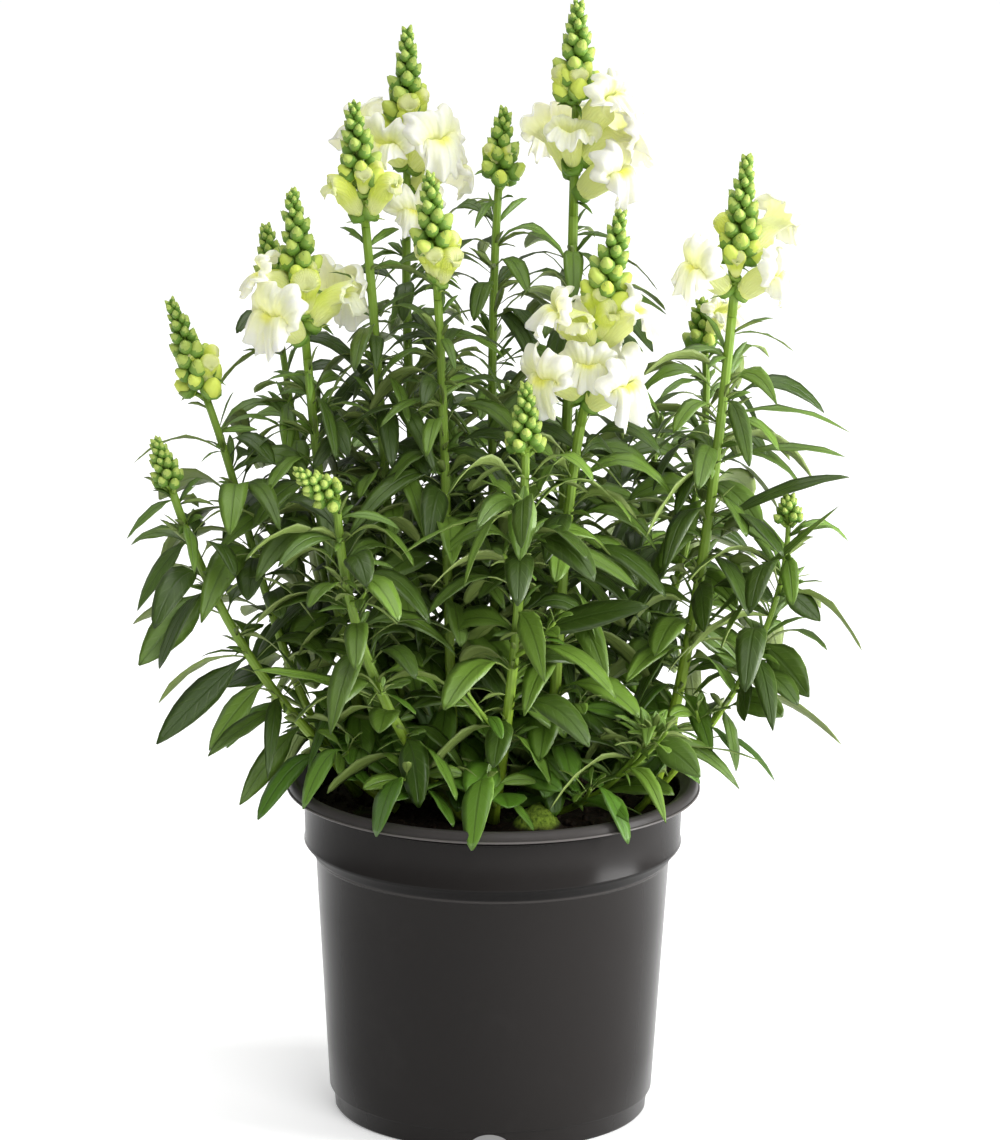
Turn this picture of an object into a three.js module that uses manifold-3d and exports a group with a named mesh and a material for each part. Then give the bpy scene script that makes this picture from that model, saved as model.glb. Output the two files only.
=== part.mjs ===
// A potted snapdragon in a round nursery container.
// Millimetres, +Z up, origin at the centre of the pot's base, -Y is the front.
// Pot, growing medium, leafy shoots, flower spikes and open flowers are separate solids.
import * as THREE from 'three';
import { mergeVertices } from 'three/addons/utils/BufferGeometryUtils.js';
import Module from 'manifold-3d';

const wasm = await Module();
wasm.setup();

// ---- driving dimensions -------------------------------------------------

const POT_HEIGHT = 157;
const RIM_RADIUS = 95;
const RIM_INNER_RADIUS = 90;
const LIP_DEPTH = 5;
const COLLAR_TOP_RADIUS = 87;
const COLLAR_BASE_RADIUS = 86.2;
const COLLAR_BASE_Z = 127;
const BODY_TOP_RADIUS = 81.2;
const BODY_TOP_Z = 120.5;
const BODY_BASE_RADIUS = 74.4;
const FOOT_RADIUS = 72.1;
const FOOT_HEIGHT = 9.6;
const WALL = 1.5;
const POT_SEGMENTS = 36;

const NOTCH_COUNT = 4;
const NOTCH_WIDTH = 18;
const NOTCH_HEIGHT = 6.5;
const NOTCH_DEPTH = 11;

const SOIL_TOP = 144;
const SOIL_SEGMENTS = 28;
const WATERING_RADIUS = 56;
const CLEARANCE = 0.3;

const GOLDEN_ANGLE = 137.5;
const STEM_SIDES = 6;
const STEM_STEPS = 8;
const STEM_TAPER = 0.8;

// Each shoot: where its stem leaves the soil, where the leafy stem ends (crown) and the tip of
// its spike. stem is the radius at the foot, turn the bearing of the first leaf, neck an optional
// curve handle, budded the closed part of the spike and bud the radius of its largest closed bud.
const SHOOTS = [
  { foot: [-22, 22], crown: [-42, 45, 398], tip: [-42, 45, 496], stem: 2.6, leaves: 23, turn: 20,
    budded: 46, bud: 4.6 },
  { foot: [-34, 8], crown: [-60, 12, 411], tip: [-66, 12, 468], stem: 2.6, leaves: 22, turn: 95,
    budded: 36, bud: 4.4 },
  { foot: [-16, -6], crown: [-27, -8, 382], tip: [-31, -8, 440], stem: 2.5, leaves: 21, turn: 200,
    budded: 36, bud: 4.4 },
  { foot: [2, 18], crown: [0, 42, 426], tip: [2, 42, 460], stem: 2.4, leaves: 24, turn: 330,
    budded: 33, bud: 4.2 },
  { foot: [24, 16], crown: [34, 32, 413], tip: [35, 32, 512], stem: 2.9, leaves: 22, turn: 60,
    budded: 43, bud: 4.6 },
  { foot: [22, -14], crown: [38, -22, 328], tip: [55, -24, 427], stem: 2.8, leaves: 19, turn: 140,
    budded: 42, bud: 4.6 },
  { foot: [72, 2], crown: [106, 3, 373], tip: [112, 5, 447], stem: 2.8, leaves: 20, turn: 250,
    budded: 48, bud: 4.2 },
  { foot: [-50, 2], crown: [-86, 2, 352], tip: [-93, 4, 429], stem: 2.6, leaves: 20, turn: 170,
    budded: 42, bud: 4.5 },
  { foot: [-46, 26], crown: [-102, 38, 375], tip: [-106, 40, 405], stem: 1.9, leaves: 20, turn: 10,
    budded: 30, bud: 3.2 },
  { foot: [-62, 8], crown: [-132, 2, 334], tip: [-148, -2, 379], stem: 2.2, leaves: 18, turn: 300,
    budded: 44, bud: 4.4 },
  { foot: [-44, -14], crown: [-147, -14, 295], tip: [-154, -14, 317], stem: 2.4, leaves: 14, turn: 80,
    budded: 22, bud: 2.4 },
  { foot: [-14, -26], crown: [-71, -62, 302], tip: [-88, -78, 319], stem: 2.5, leaves: 15, turn: 225,
    neck: [-68, -56, 235], budded: 26, bud: 3.0 },
  { foot: [0, -31], crown: [13, -54, 323], tip: [13, -54, 354], stem: 2.6, leaves: 17, turn: 120,
    budded: 30, bud: 3.2 },
  { foot: [66, -12], crown: [133, -8, 280], tip: [133, -8, 293], stem: 1.6, leaves: 14, turn: 45,
    budded: 13, bud: 2.0 },
  { foot: [28, -18], crown: [73, -50, 193], tip: [87, -58, 215], stem: 1.6, leaves: 12, turn: 190,
    budded: 0, bud: 0 },
  { foot: [50, 28], crown: [95, 44, 350], tip: [93, 46, 371], stem: 2.2, leaves: 20, turn: 275,
    budded: 20, bud: 3.4 },
  { foot: [-26, 40], crown: [-70, 84, 295], tip: [-74, 88, 317], stem: 2.0, leaves: 18, turn: 150,
    budded: 0, bud: 0 },
  { foot: [4, 46], crown: [6, 98, 313], tip: [6, 101, 335], stem: 2.1, leaves: 19, turn: 35,
    budded: 0, bud: 0 },
  { foot: [34, 42], crown: [76, 84, 301], tip: [80, 87, 323], stem: 2.0, leaves: 18, turn: 265,
    budded: 0, bud: 0 },
];
const SPREAD = 0.55;
const KNEE_RISE = 0.28;
const NECK_LENGTH = 0.33;

// Open flowers: spike number, millimetres below the spike's tip, bearing in degrees, size.
const OPEN_FLOWERS = [
  [1, 66, 232, 1.0], [1, 68, 325, 1.0], [1, 92, 286, 1.0], [1, 80, 20, 0.95], [1, 62, 160, 0.9],
  [5, 80, 256, 1.05], [5, 66, 342, 1.0], [5, 78, 8, 1.0], [5, 93, 340, 1.05], [5, 84, 110, 0.95],
  [6, 67, 188, 0.95], [6, 82, 268, 0.95], [6, 90, 208, 1.0], [6, 95, 330, 1.05], [6, 67, 356, 0.95],
  [6, 78, 85, 0.9],
  [7, 66, 200, 0.95], [7, 52, 28, 0.85], [7, 68, 346, 0.9],
  [8, 72, 216, 1.0], [8, 57, 176, 0.9], [8, 68, 50, 0.9],
  [16, 19, 318, 0.7],
];

// Half-open hooded flowers, given like the open ones; they belong to their spike.
const HOODED_FLOWERS = [
  [1, 50, 275, 0.8], [1, 46, 345, 0.7], [2, 57, 190, 1.0], [2, 56, 335, 1.0], [2, 46, 272, 0.65],
  [2, 44, 350, 0.65], [3, 52, 262, 0.72], [3, 55, 320, 0.85], [3, 46, 350, 0.75], [3, 51, 212, 0.75],
  [4, 30, 320, 0.5], [4, 30, 212, 0.5], [5, 50, 195, 0.8], [5, 48, 280, 0.7],
  [6, 66, 238, 0.95], [6, 64, 310, 0.95], [6, 52, 270, 0.62], [6, 54, 205, 0.6],
  [7, 48, 160, 0.8], [7, 60, 274, 0.65], [7, 58, 236, 0.55],
  [8, 61, 275, 1.05], [8, 66, 345, 1.15], [8, 48, 330, 0.6],
  [10, 46, 292, 0.7], [10, 42, 210, 0.6], [10, 40, 350, 0.6],
];

// Leaves placed by hand: shoot, fraction up its stem, tip, width, lift of the middle, roll.
const PLACED_LEAVES = [
  [11, 0.72, [-161, -34, 217], 17, 4, -62], [11, 0.86, [-162, -24, 240], 9, 9, -35],
  [11, 0.52, [-153, -34, 180], 14, 5, -50], [11, 0.44, [-130, -12, 171], 12, 6, -60],
  [11, 0.3, [-115, -42, 154], 12, 5, -70], [11, 0.97, [-167, -18, 272], 7, 7, -20],
  [11, 0.36, [-129, -50, 179], 10, 6, -15],
  [7, 0.8, [161, 5, 319], 7, 15, 10], [7, 0.71, [158, -8, 311], 8, 12, 12],
  [7, 0.58, [160, -14, 303], 12, 12, 20], [7, 0.36, [155, -24, 292], 10, 2, 25],
  [14, 0.8, [148, -16, 236], 11, 2, 55], [14, 0.62, [143, -30, 204], 16, 5, 60],
  [14, 0.5, [114, -32, 193], 15, 5, 65],
  [15, 0.92, [93, -76, 179], 14, 6, 50], [15, 0.8, [122, -50, 179], 7, 10, -15],
  [15, 0.3, [82, -50, 163], 16, 10, 20], [15, 0.12, [61, -81, 159], 12, 16, 10],
  [13, 0.52, [69, -72, 257], 15, 6, 42], [13, 0.76, [64, -66, 263], 12, 14, 15],
  [13, 0.93, [11, -74, 278], 13, 3, 0], [13, 0.84, [-42, -70, 279], 8, 12, 10],
  [13, 0.12, [-6, -78, 161], 14, 12, 5],
  [12, 0.1, [-50, -70, 163], 13, 8, -10], [12, 0.42, [-108, -66, 224], 8, 8, -20],
];

// ---- small helpers ------------------------------------------------------

const UP = new THREE.Vector3(0, 0, 1);
const vec = (p) => new THREE.Vector3(p[0], p[1], p[2]);
const mix = THREE.MathUtils.lerp;
const rad = THREE.MathUtils.degToRad;
const towards = (bearing) => new THREE.Vector3(Math.cos(rad(bearing)), Math.sin(rad(bearing)), 0);

// A repeatable number from 0 to 1 for natural variation.
function vary(seed) {
  const wave = Math.sin(seed * 12.9898 + 4.1414) * 43758.5453;
  return wave - Math.floor(wave);
}

// The point moved by a distance along each of the given directions.
function offset(point, ...pairs) {
  const moved = point.clone();
  pairs.forEach(([direction, distance]) => moved.addScaledVector(direction, distance));
  return moved;
}

// A closed skin through rings of points, drawn to a point at each end.
function loft(first, rings, last) {
  const sides = rings[0].length;
  const points = [first, ...rings.flat(), last];
  const end = points.length - 1;
  const faces = [];
  for (let side = 0; side < sides; side += 1) {
    const next = (side + 1) % sides;
    faces.push(0, 1 + next, 1 + side);
    for (let ring = 0; ring < rings.length - 1; ring += 1) {
      const low = 1 + ring * sides;
      const high = low + sides;
      faces.push(low + side, low + next, high + next, low + side, high + next, high + side);
    }
    const top = 1 + (rings.length - 1) * sides;
    faces.push(top + side, top + next, end);
  }
  const geometry = new THREE.BufferGeometry();
  geometry.setAttribute('position', new THREE.Float32BufferAttribute(points.flatMap((p) => p.toArray()), 3));
  geometry.setIndex(faces);
  return geometry;
}

function ring(centre, u, v, ru, rv, sides) {
  return Array.from({ length: sides }, (_, k) => {
    const angle = (2 * Math.PI * k) / sides;
    return offset(centre, [u, ru * Math.cos(angle)], [v, rv * Math.sin(angle)]);
  });
}

// Two directions square to an axis; u stays close to +X and v turns right-handed.
function across(axis) {
  const u = new THREE.Vector3(1, 0, 0).addScaledVector(axis, -axis.x).normalize();
  return [u, new THREE.Vector3().crossVectors(axis, u)];
}

function solid(geometry) {
  const bare = geometry.clone();
  bare.deleteAttribute('normal');
  bare.deleteAttribute('uv');
  const merged = mergeVertices(bare, 1e-4);
  return new wasm.Manifold(new wasm.Mesh({
    numProp: 3,
    vertProperties: new Float32Array(merged.attributes.position.array),
    triVerts: new Uint32Array(merged.index.array),
  }));
}

function unite(solids) {
  return solids.reduce((whole, piece) => whole.add(piece));
}

function geometryOf(manifold) {
  const mesh = manifold.getMesh();
  const positions = [];
  for (let i = 0; i < mesh.vertProperties.length; i += mesh.numProp) {
    positions.push(mesh.vertProperties[i], mesh.vertProperties[i + 1], mesh.vertProperties[i + 2]);
  }
  const geometry = new THREE.BufferGeometry();
  geometry.setAttribute('position', new THREE.Float32BufferAttribute(positions, 3));
  geometry.setIndex(Array.from(mesh.triVerts));
  geometry.computeVertexNormals();
  return geometry;
}

// ---- pot and growing medium ---------------------------------------------

function latheUpright(profile, segments) {
  const points = profile.map(([radius, z]) => new THREE.Vector2(radius, z));
  return new THREE.LatheGeometry(points, segments).rotateX(Math.PI / 2);
}

function makePot() {
  const lipZ = POT_HEIGHT - LIP_DEPTH;
  const shell = solid(latheUpright([
    [0, 0], [FOOT_RADIUS - 2, 0], [FOOT_RADIUS, 2], [FOOT_RADIUS + 0.5, FOOT_HEIGHT],
    [BODY_BASE_RADIUS, FOOT_HEIGHT + 1.2], [BODY_TOP_RADIUS, BODY_TOP_Z],
    [COLLAR_BASE_RADIUS - 1.4, COLLAR_BASE_Z - 1.6], [COLLAR_BASE_RADIUS, COLLAR_BASE_Z],
    [COLLAR_TOP_RADIUS, lipZ], [RIM_RADIUS - 0.5, lipZ], [RIM_RADIUS, lipZ + 1.5],
    [RIM_RADIUS - 0.4, POT_HEIGHT - 1], [RIM_RADIUS - 1.6, POT_HEIGHT], [RIM_INNER_RADIUS, POT_HEIGHT],
    [COLLAR_TOP_RADIUS - WALL + 0.6, POT_HEIGHT - 2.5], [COLLAR_TOP_RADIUS - WALL, lipZ - 1],
    [COLLAR_BASE_RADIUS - WALL, COLLAR_BASE_Z + 1], [BODY_TOP_RADIUS - WALL, BODY_TOP_Z + 1],
    [BODY_BASE_RADIUS - WALL, FOOT_HEIGHT + 2.4], [FOOT_RADIUS - 4, WALL], [0, WALL],
  ], POT_SEGMENTS));
  const arch = new THREE.Shape();
  arch.moveTo(-NOTCH_WIDTH / 2, -4);
  arch.lineTo(NOTCH_WIDTH / 2, -4);
  arch.lineTo(NOTCH_WIDTH / 2, 1);
  arch.quadraticCurveTo(NOTCH_WIDTH / 2 - 1, NOTCH_HEIGHT, 0, NOTCH_HEIGHT);
  arch.quadraticCurveTo(1 - NOTCH_WIDTH / 2, NOTCH_HEIGHT, -NOTCH_WIDTH / 2, 1);
  const cutter = new THREE.ExtrudeGeometry(arch, {
    depth: NOTCH_DEPTH + 8, bevelEnabled: false, curveSegments: 4,
  });
  cutter.rotateX(Math.PI / 2).translate(0, -FOOT_RADIUS + NOTCH_DEPTH, 0);
  let pot = shell;
  for (let k = 0; k < NOTCH_COUNT; k += 1) {
    pot = pot.subtract(solid(cutter.clone().rotateZ((k * 2 * Math.PI) / NOTCH_COUNT)));
  }
  return pot;
}

// The rootball of peat fills the pot with a small gap and has a bevelled bottom edge.
function makeSoil() {
  const gap = WALL + CLEARANCE;
  const neckSlope = (COLLAR_TOP_RADIUS - COLLAR_BASE_RADIUS) / (POT_HEIGHT - LIP_DEPTH - COLLAR_BASE_Z);
  const topRadius = COLLAR_BASE_RADIUS - gap + (SOIL_TOP - COLLAR_BASE_Z) * neckSlope - 0.5;
  return solid(latheUpright([
    [0, gap], [FOOT_RADIUS - NOTCH_DEPTH - 1, gap], [BODY_BASE_RADIUS - gap - 1, FOOT_HEIGHT + 6],
    [BODY_TOP_RADIUS - gap - 0.8, BODY_TOP_Z + 1], [COLLAR_BASE_RADIUS - gap - 0.8, COLLAR_BASE_Z + 4],
    [topRadius, SOIL_TOP], [0, SOIL_TOP],
  ], SOIL_SEGMENTS));
}

// ---- stems --------------------------------------------------------------

function stemCurve(shoot) {
  const foot = vec([...shoot.foot, SOIL_TOP + CLEARANCE]);
  const crown = vec(shoot.crown);
  const spike = vec(shoot.tip).sub(crown).normalize();
  const knee = foot.clone().lerp(crown, SPREAD);
  knee.z = mix(foot.z, crown.z, KNEE_RISE);
  const neck = shoot.neck
    ? vec(shoot.neck)
    : crown.clone().addScaledVector(spike, -NECK_LENGTH * foot.distanceTo(crown));
  return new THREE.CubicBezierCurve3(foot, knee, neck, crown);
}

function stemRadius(shoot, t) {
  return shoot.stem * mix(1, STEM_TAPER, t);
}

function makeStem(shoot) {
  const curve = stemCurve(shoot);
  const rings = [];
  for (let step = 0; step <= STEM_STEPS; step += 1) {
    const t = step / STEM_STEPS;
    const [u, v] = across(step === STEM_STEPS ? spikeAxis(shoot).axis : curve.getTangent(t));
    const radius = stemRadius(shoot, t);
    const section = ring(curve.getPoint(t), u, v, radius, radius, STEM_SIDES);
    if (step === 0) section.forEach((p) => { p.z = SOIL_TOP + CLEARANCE; });
    rings.push(section);
  }
  const bottom = vec([...shoot.foot, SOIL_TOP + CLEARANCE]);
  return loft(bottom, rings, curve.getPoint(1));
}

// ---- leaves -------------------------------------------------------------

// A leaf runs from its stem along a bowed midrib to its tip.
function leafFrame(leaf, s) {
  const chord = leaf.tip.clone().sub(leaf.base);
  const bow = leaf.base.clone().addScaledVector(chord, 0.5).addScaledVector(UP, leaf.lift);
  const midrib = new THREE.QuadraticBezierCurve3(leaf.base, bow, leaf.tip);
  const along = midrib.getTangent(s);
  const level = new THREE.Vector3().crossVectors(UP, chord).normalize();
  const tilted = new THREE.Vector3().crossVectors(chord, level).normalize();
  const side = level.multiplyScalar(Math.cos(rad(leaf.roll)))
    .addScaledVector(tilted, Math.sin(rad(leaf.roll)));
  side.addScaledVector(along, -side.dot(along)).normalize();
  return { point: midrib.getPoint(s), side, top: new THREE.Vector3().crossVectors(along, side) };
}

const LEAF_STATIONS = [[0.36, 1], [0.7, 0.78]];
const LEAF_FOLD = 0.22;
const LEAF_KEEL = 0.7;

function makeLeaf(leaf) {
  const rings = LEAF_STATIONS.map(([s, share]) => {
    const { point, side, top } = leafFrame(leaf, s);
    const half = (leaf.width * share) / 2;
    return [
      offset(point, [side, half], [top, half * LEAF_FOLD]),
      offset(point, [side, -half], [top, half * LEAF_FOLD]),
      offset(point, [top, -LEAF_KEEL]),
    ];
  });
  return loft(leaf.base, rings, leaf.tip);
}

// Obstacles are spheres: [x, y, z, radius, shoot number].
const LEAF_REACH = 2.1;
const STEM_REACH = 1.2;
const BUD_REACH = 1.5;
const FLOWER_REACH = 13;
const HOOD_REACH = 9;
const THROAT = 15;
const LEAF_PROBES = [
  [0.28, 0], [0.42, 0], [0.56, 0], [0.7, 0], [0.84, 0], [1, 0],
  [0.36, 0.9], [0.36, -0.9], [0.55, 0.85], [0.55, -0.85], [0.74, 0.7], [0.74, -0.7],
];
const obstacles = [];

function leafProbes(leaf) {
  return LEAF_PROBES.map(([s, share]) => {
    const { point, side } = leafFrame(leaf, s);
    return offset(point, [side, (share * leaf.width) / 2]);
  });
}

// Leaves keep clear of the rim and of the watering space between the soil and the rim.
function touchesPot(p) {
  const radius = Math.hypot(p.x, p.y);
  const lowest = radius > WATERING_RADIUS ? POT_HEIGHT + 3 : SOIL_TOP + 3.5;
  return radius < RIM_RADIUS + 3 && p.z < lowest;
}

function isClear(probes, number) {
  return probes.every((p) => !touchesPot(p) && obstacles.every(([x, y, z, reach, owner]) => {
    if (owner === number) return true;
    const apart = reach + LEAF_REACH;
    return (p.x - x) ** 2 + (p.y - y) ** 2 + (p.z - z) ** 2 > apart * apart;
  }));
}

// Leaf length, width and slope from base to tip: on the low, the middle and the youngest stem.
const LEAF_LENGTH = [42, 51, 26];
const LEAF_WIDTH = [15.5, 13, 5.5];
const LEAF_SLOPE = [-34, -18, -10];
const LEAF_LIFT = [0.28, 0.52];
const LEAF_ROLL = 45;
const LEAF_SPAN = [0.1, 0.985];

function byHeight([low, middle, young], share) {
  const lowness = 1 - THREE.MathUtils.smoothstep(share, 0, 0.5);
  const youth = THREE.MathUtils.smoothstep(share, 0.72, 1);
  return mix(mix(middle, low, lowness), young, youth);
}

function leafHabit(share, seed) {
  const length = byHeight(LEAF_LENGTH, share) * mix(0.86, 1.14, vary(seed + 1));
  return {
    length,
    width: byHeight(LEAF_WIDTH, share) * mix(0.8, 1.2, vary(seed + 2)),
    slope: byHeight(LEAF_SLOPE, share) + mix(-18, 18, vary(seed + 3)),
    lift: length * mix(...LEAF_LIFT, vary(seed + 4)),
    roll: mix(-LEAF_ROLL, LEAF_ROLL, vary(seed + 5)),
  };
}

const SWINGS = [0, 13, -13, 26, -26, 39, -39, 52, -52];
const SHORTENINGS = [1, 0.78];

function growLeaf(shoot, number, curve, index) {
  const seed = number * 100 + index;
  const share = (index + 0.5) / shoot.leaves;
  const habit = leafHabit(share, seed);
  const base = curve.getPoint(mix(...LEAF_SPAN, share));
  const bearing = shoot.turn + index * GOLDEN_ANGLE + mix(-12, 12, vary(seed + 6));
  for (const shortening of SHORTENINGS) {
    for (const swing of SWINGS) {
      const length = habit.length * shortening;
      const tip = offset(base, [towards(bearing + swing), length * Math.cos(rad(habit.slope))],
        [UP, length * Math.sin(rad(habit.slope))]);
      const leaf = { base, tip, width: habit.width, lift: habit.lift * shortening, roll: habit.roll };
      const probes = leafProbes(leaf);
      if (isClear(probes, number)) return [leaf, probes];
    }
  }
  return null;
}

function placedLeaves(number, curve) {
  const own = PLACED_LEAVES.filter(([owner]) => owner === number);
  return own.map(([, at, tip, width, lift, roll]) => (
    { base: curve.getPoint(at), tip: vec(tip), width, lift, roll }));
}

function addObstacle(p, reach, number) {
  obstacles.push([p.x, p.y, p.z, reach, number]);
}

// ---- flower spikes ------------------------------------------------------

function spikeAxis(shoot) {
  const crown = vec(shoot.crown);
  const tip = vec(shoot.tip);
  const axis = tip.clone().sub(crown);
  const length = axis.length();
  axis.normalize();
  return { crown, tip, axis, length, below: (d) => offset(tip, [axis, -d]) };
}

// The closed buds wind tightly round the axis: here their common skin, widest at the bottom.
const BUD_ROWS = 7;
const BUD_SIDES = 6;
const BUD_VALLEY = 0.74;

function budReach(shoot, drop) {
  return mix(1.3, shoot.bud * 2, Math.min(drop / shoot.budded, 1) ** 0.9);
}

// A flower's tube rises from its pedicel at FLOWER_RISE degrees and bends over to FACE_RISE,
// where the lips spread. A flower that is still shut stands a little steeper.
const FLOWER_RISE = 50;
const FACE_RISE = 14;
const HOOD_RISE = 56;
const PEDICEL = 4;
const CALYX_RADIUS = 4;

function heading(bearing, rise) {
  return offset(new THREE.Vector3(), [towards(bearing), Math.cos(rad(rise))], [UP, Math.sin(rad(rise))]);
}

function flowerPlace([number, drop, bearing, size], rise) {
  const root = spikeAxis(SHOOTS[number - 1]).below(drop);
  const aim = heading(bearing, rise);
  return { number, size, aim, root, out: towards(bearing), face: heading(bearing, FACE_RISE),
    seat: offset(root, [aim, PEDICEL]) };
}

// Pedicel and cup of sepals, ending just short of the flower tube.
function makeCalyx(place) {
  const [u, v] = across(place.aim);
  const cup = (distance, radius) => ring(offset(place.seat, [place.aim, distance]), u, v, radius, radius, 5);
  return loft(place.root, [cup(-1, 1.4), cup(1.5 * place.size, CALYX_RADIUS * place.size)],
    offset(place.seat, [place.aim, 2 * place.size]));
}

// A flower that is still shut: one swollen bag whose hood nods outwards.
const HOOD_SECTIONS = [[-1.5, 1.4], [2, 3.6], [10, 4.4], [17, 5.6], [22, 4.8]];
const HOOD_TIP = 25;
const HOOD_BEND = 12;
const HOOD_NOD = 0.4;

function makeHood(place) {
  const [u, v] = across(place.aim);
  const at = (distance) => offset(place.seat, [place.aim, distance * place.size],
    [place.out, Math.max(distance - HOOD_BEND, 0) * HOOD_NOD * place.size]);
  const rings = HOOD_SECTIONS.map(([distance, radius]) => (
    ring(at(distance), u, v, radius * place.size, radius * place.size, 6)));
  return loft(place.root, rings, at(HOOD_TIP));
}

// Trumpet of fused petals: tube, throat and the flared upper and lower lips.
// Each section: distance up the tube, distance forward, half width, half height, rise.
const COROLLA_SECTIONS = [
  [3, 0, 2.4, 2.4, 50], [11, 0, 4.4, 4.6, 50], [16, 1.5, 6, 6.4, 32], [17, 6.5, 13.5, 14.5, FACE_RISE],
];
const COROLLA_START = 2.6;
const COROLLA_FACE = [17, 8.5];
const COROLLA_SIDES = 7;

function makeCorolla(place, margin = 0) {
  const side = new THREE.Vector3().crossVectors(UP, place.out).normalize();
  const at = (up, forward) => (
    offset(place.seat, [place.aim, up * place.size], [place.face, forward * place.size]));
  const rings = COROLLA_SECTIONS.map(([up, forward, wide, tall, rise]) => {
    const top = offset(new THREE.Vector3(), [UP, Math.cos(rad(rise))], [place.out, -Math.sin(rad(rise))]);
    return ring(at(up, forward), side, top, wide * place.size + margin, tall * place.size + margin,
      COROLLA_SIDES);
  });
  return loft(at(COROLLA_START, 0), rings, offset(at(...COROLLA_FACE), [place.face, margin]));
}

function makeBuds(shoot, margin = 0) {
  const { crown, axis, tip, length, below } = spikeAxis(shoot);
  const [u, v] = across(axis);
  const radius = shoot.stem * STEM_TAPER;
  const foot = offset(crown, [axis, CLEARANCE]);
  const round = (centre, reach) => ring(centre, u, v, reach + margin, reach + margin, BUD_SIDES);
  const rings = [round(foot, radius)];
  if (length > shoot.budded + 3) rings.push(round(below(shoot.budded + 2), radius));
  for (let row = BUD_ROWS; row > 0; row -= 1) {
    const drop = Math.min(shoot.budded, length - 2) * (row / (BUD_ROWS + 0.5));
    const share = row % 2 === 0 ? BUD_VALLEY : 1;
    rings.push(round(below(drop), budReach(shoot, drop) * share));
  }
  return loft(foot, rings, tip);
}

function makeSpike(shoot, number) {
  const pieces = [makeBuds(shoot)];
  const own = (flowers) => flowers.filter(([owner]) => owner === number);
  own(HOODED_FLOWERS).forEach((flower) => pieces.push(makeHood(flowerPlace(flower, HOOD_RISE))));
  own(OPEN_FLOWERS).forEach((flower) => pieces.push(makeCalyx(flowerPlace(flower, FLOWER_RISE))));
  return pieces;
}

// ---- assembly -----------------------------------------------------------

const finish = (color, roughness) => new THREE.MeshStandardMaterial({ color, roughness, metalness: 0 });
const materials = {
  pot: finish(0x2b2a2b, 0.42),
  soil: finish(0x1d1510, 0.95),
  foliage: finish(0x3c6a2a, 0.55),
  spike: finish(0x7fae35, 0.55),
  petal: finish(0xf6f3cf, 0.6),
};

const plant = new THREE.Group();
const OVERLAP_LIMIT = 0.002;
const built = [];

function addNode(name, manifold, material) {
  const mesh = new THREE.Mesh(geometryOf(manifold), material);
  mesh.name = name;
  plant.add(mesh);
  built.push({ manifold, box: manifold.boundingBox() });
}

function boxesMeet(a, b) {
  return [0, 1, 2].every((k) => a.min[k] < b.max[k] + CLEARANCE && b.min[k] < a.max[k] + CLEARANCE);
}

function overlapsBuilt(manifold) {
  const box = manifold.boundingBox();
  return built.some((other) => boxesMeet(box, other.box)
    && manifold.intersect(other.manifold).volume() > OVERLAP_LIMIT);
}

const largestPart = (manifold) => manifold.decompose().sort((a, b) => b.volume() - a.volume())[0];

// Keeps the first piece and joins to it each further one that is clear of its neighbours.
function joinClear([core, ...rest]) {
  const kept = rest.map(solid).filter((piece) => !overlapsBuilt(piece));
  return largestPart(unite([solid(core), ...kept]));
}

const label = (number) => String(number).padStart(2, '0');

addNode('pot', makePot(), materials.pot);
addNode('soil', makeSoil(), materials.soil);

SHOOTS.forEach((shoot, index) => {
  const curve = stemCurve(shoot);
  for (let step = 0; step <= 40; step += 1) {
    addObstacle(curve.getPoint(step / 40), shoot.stem + STEM_REACH, index + 1);
  }
  const { below, length } = spikeAxis(shoot);
  for (let drop = 0; drop < length && shoot.budded > 0; drop += 5) {
    addObstacle(below(drop), budReach(shoot, drop) + BUD_REACH, index + 1);
  }
});

const stems = SHOOTS.map((shoot) => makeStem(shoot));

// Where flowers crowd each other, the later one is pressed in by the earlier and by the buds.
const flowerCount = {};
const crowding = SHOOTS.filter((shoot) => shoot.budded > 0)
  .map((shoot) => solid(makeBuds(shoot, CLEARANCE)));
OPEN_FLOWERS.forEach((flower) => {
  const place = flowerPlace(flower, FLOWER_RISE);
  const throat = offset(place.seat, [place.aim, THROAT * place.size], [place.face, 3 * place.size]);
  addObstacle(throat, FLOWER_REACH * place.size, 0);
  flowerCount[place.number] = (flowerCount[place.number] ?? 0) + 1;
  const name = `flower_${label(place.number)}_${flowerCount[place.number]}`;
  const corolla = crowding.reduce((rest, other) => rest.subtract(other), solid(makeCorolla(place)));
  crowding.push(solid(makeCorolla(place, CLEARANCE)));
  addNode(name, largestPart(corolla), materials.petal);
});
HOODED_FLOWERS.forEach((flower) => {
  const place = flowerPlace(flower, HOOD_RISE);
  addObstacle(offset(place.seat, [place.aim, THROAT * place.size]), HOOD_REACH * place.size, 0);
});

SHOOTS.forEach((shoot, index) => {
  if (shoot.budded > 0) {
    addNode(`flower_spike_${label(index + 1)}`, joinClear(makeSpike(shoot, index + 1)), materials.spike);
  }
});

const leavesOf = SHOOTS.map((shoot, index) => {
  const number = index + 1;
  const leaves = placedLeaves(number, stemCurve(shoot));
  leaves.flatMap(leafProbes).forEach((p) => addObstacle(p, LEAF_REACH, number));
  return leaves;
});
SHOOTS.forEach((shoot, index) => {
  const number = index + 1;
  const curve = stemCurve(shoot);
  for (let leafIndex = 0; leafIndex < shoot.leaves; leafIndex += 1) {
    const grown = growLeaf(shoot, number, curve, leafIndex);
    if (grown) {
      leavesOf[index].push(grown[0]);
      grown[1].forEach((p) => addObstacle(p, LEAF_REACH, number));
    }
  }
});

SHOOTS.forEach((shoot, index) => {
  const pieces = [stems[index], ...leavesOf[index].map(makeLeaf)];
  addNode(`shoot_${label(index + 1)}`, joinClear(pieces), materials.foliage);
});

export default plant;
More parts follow.
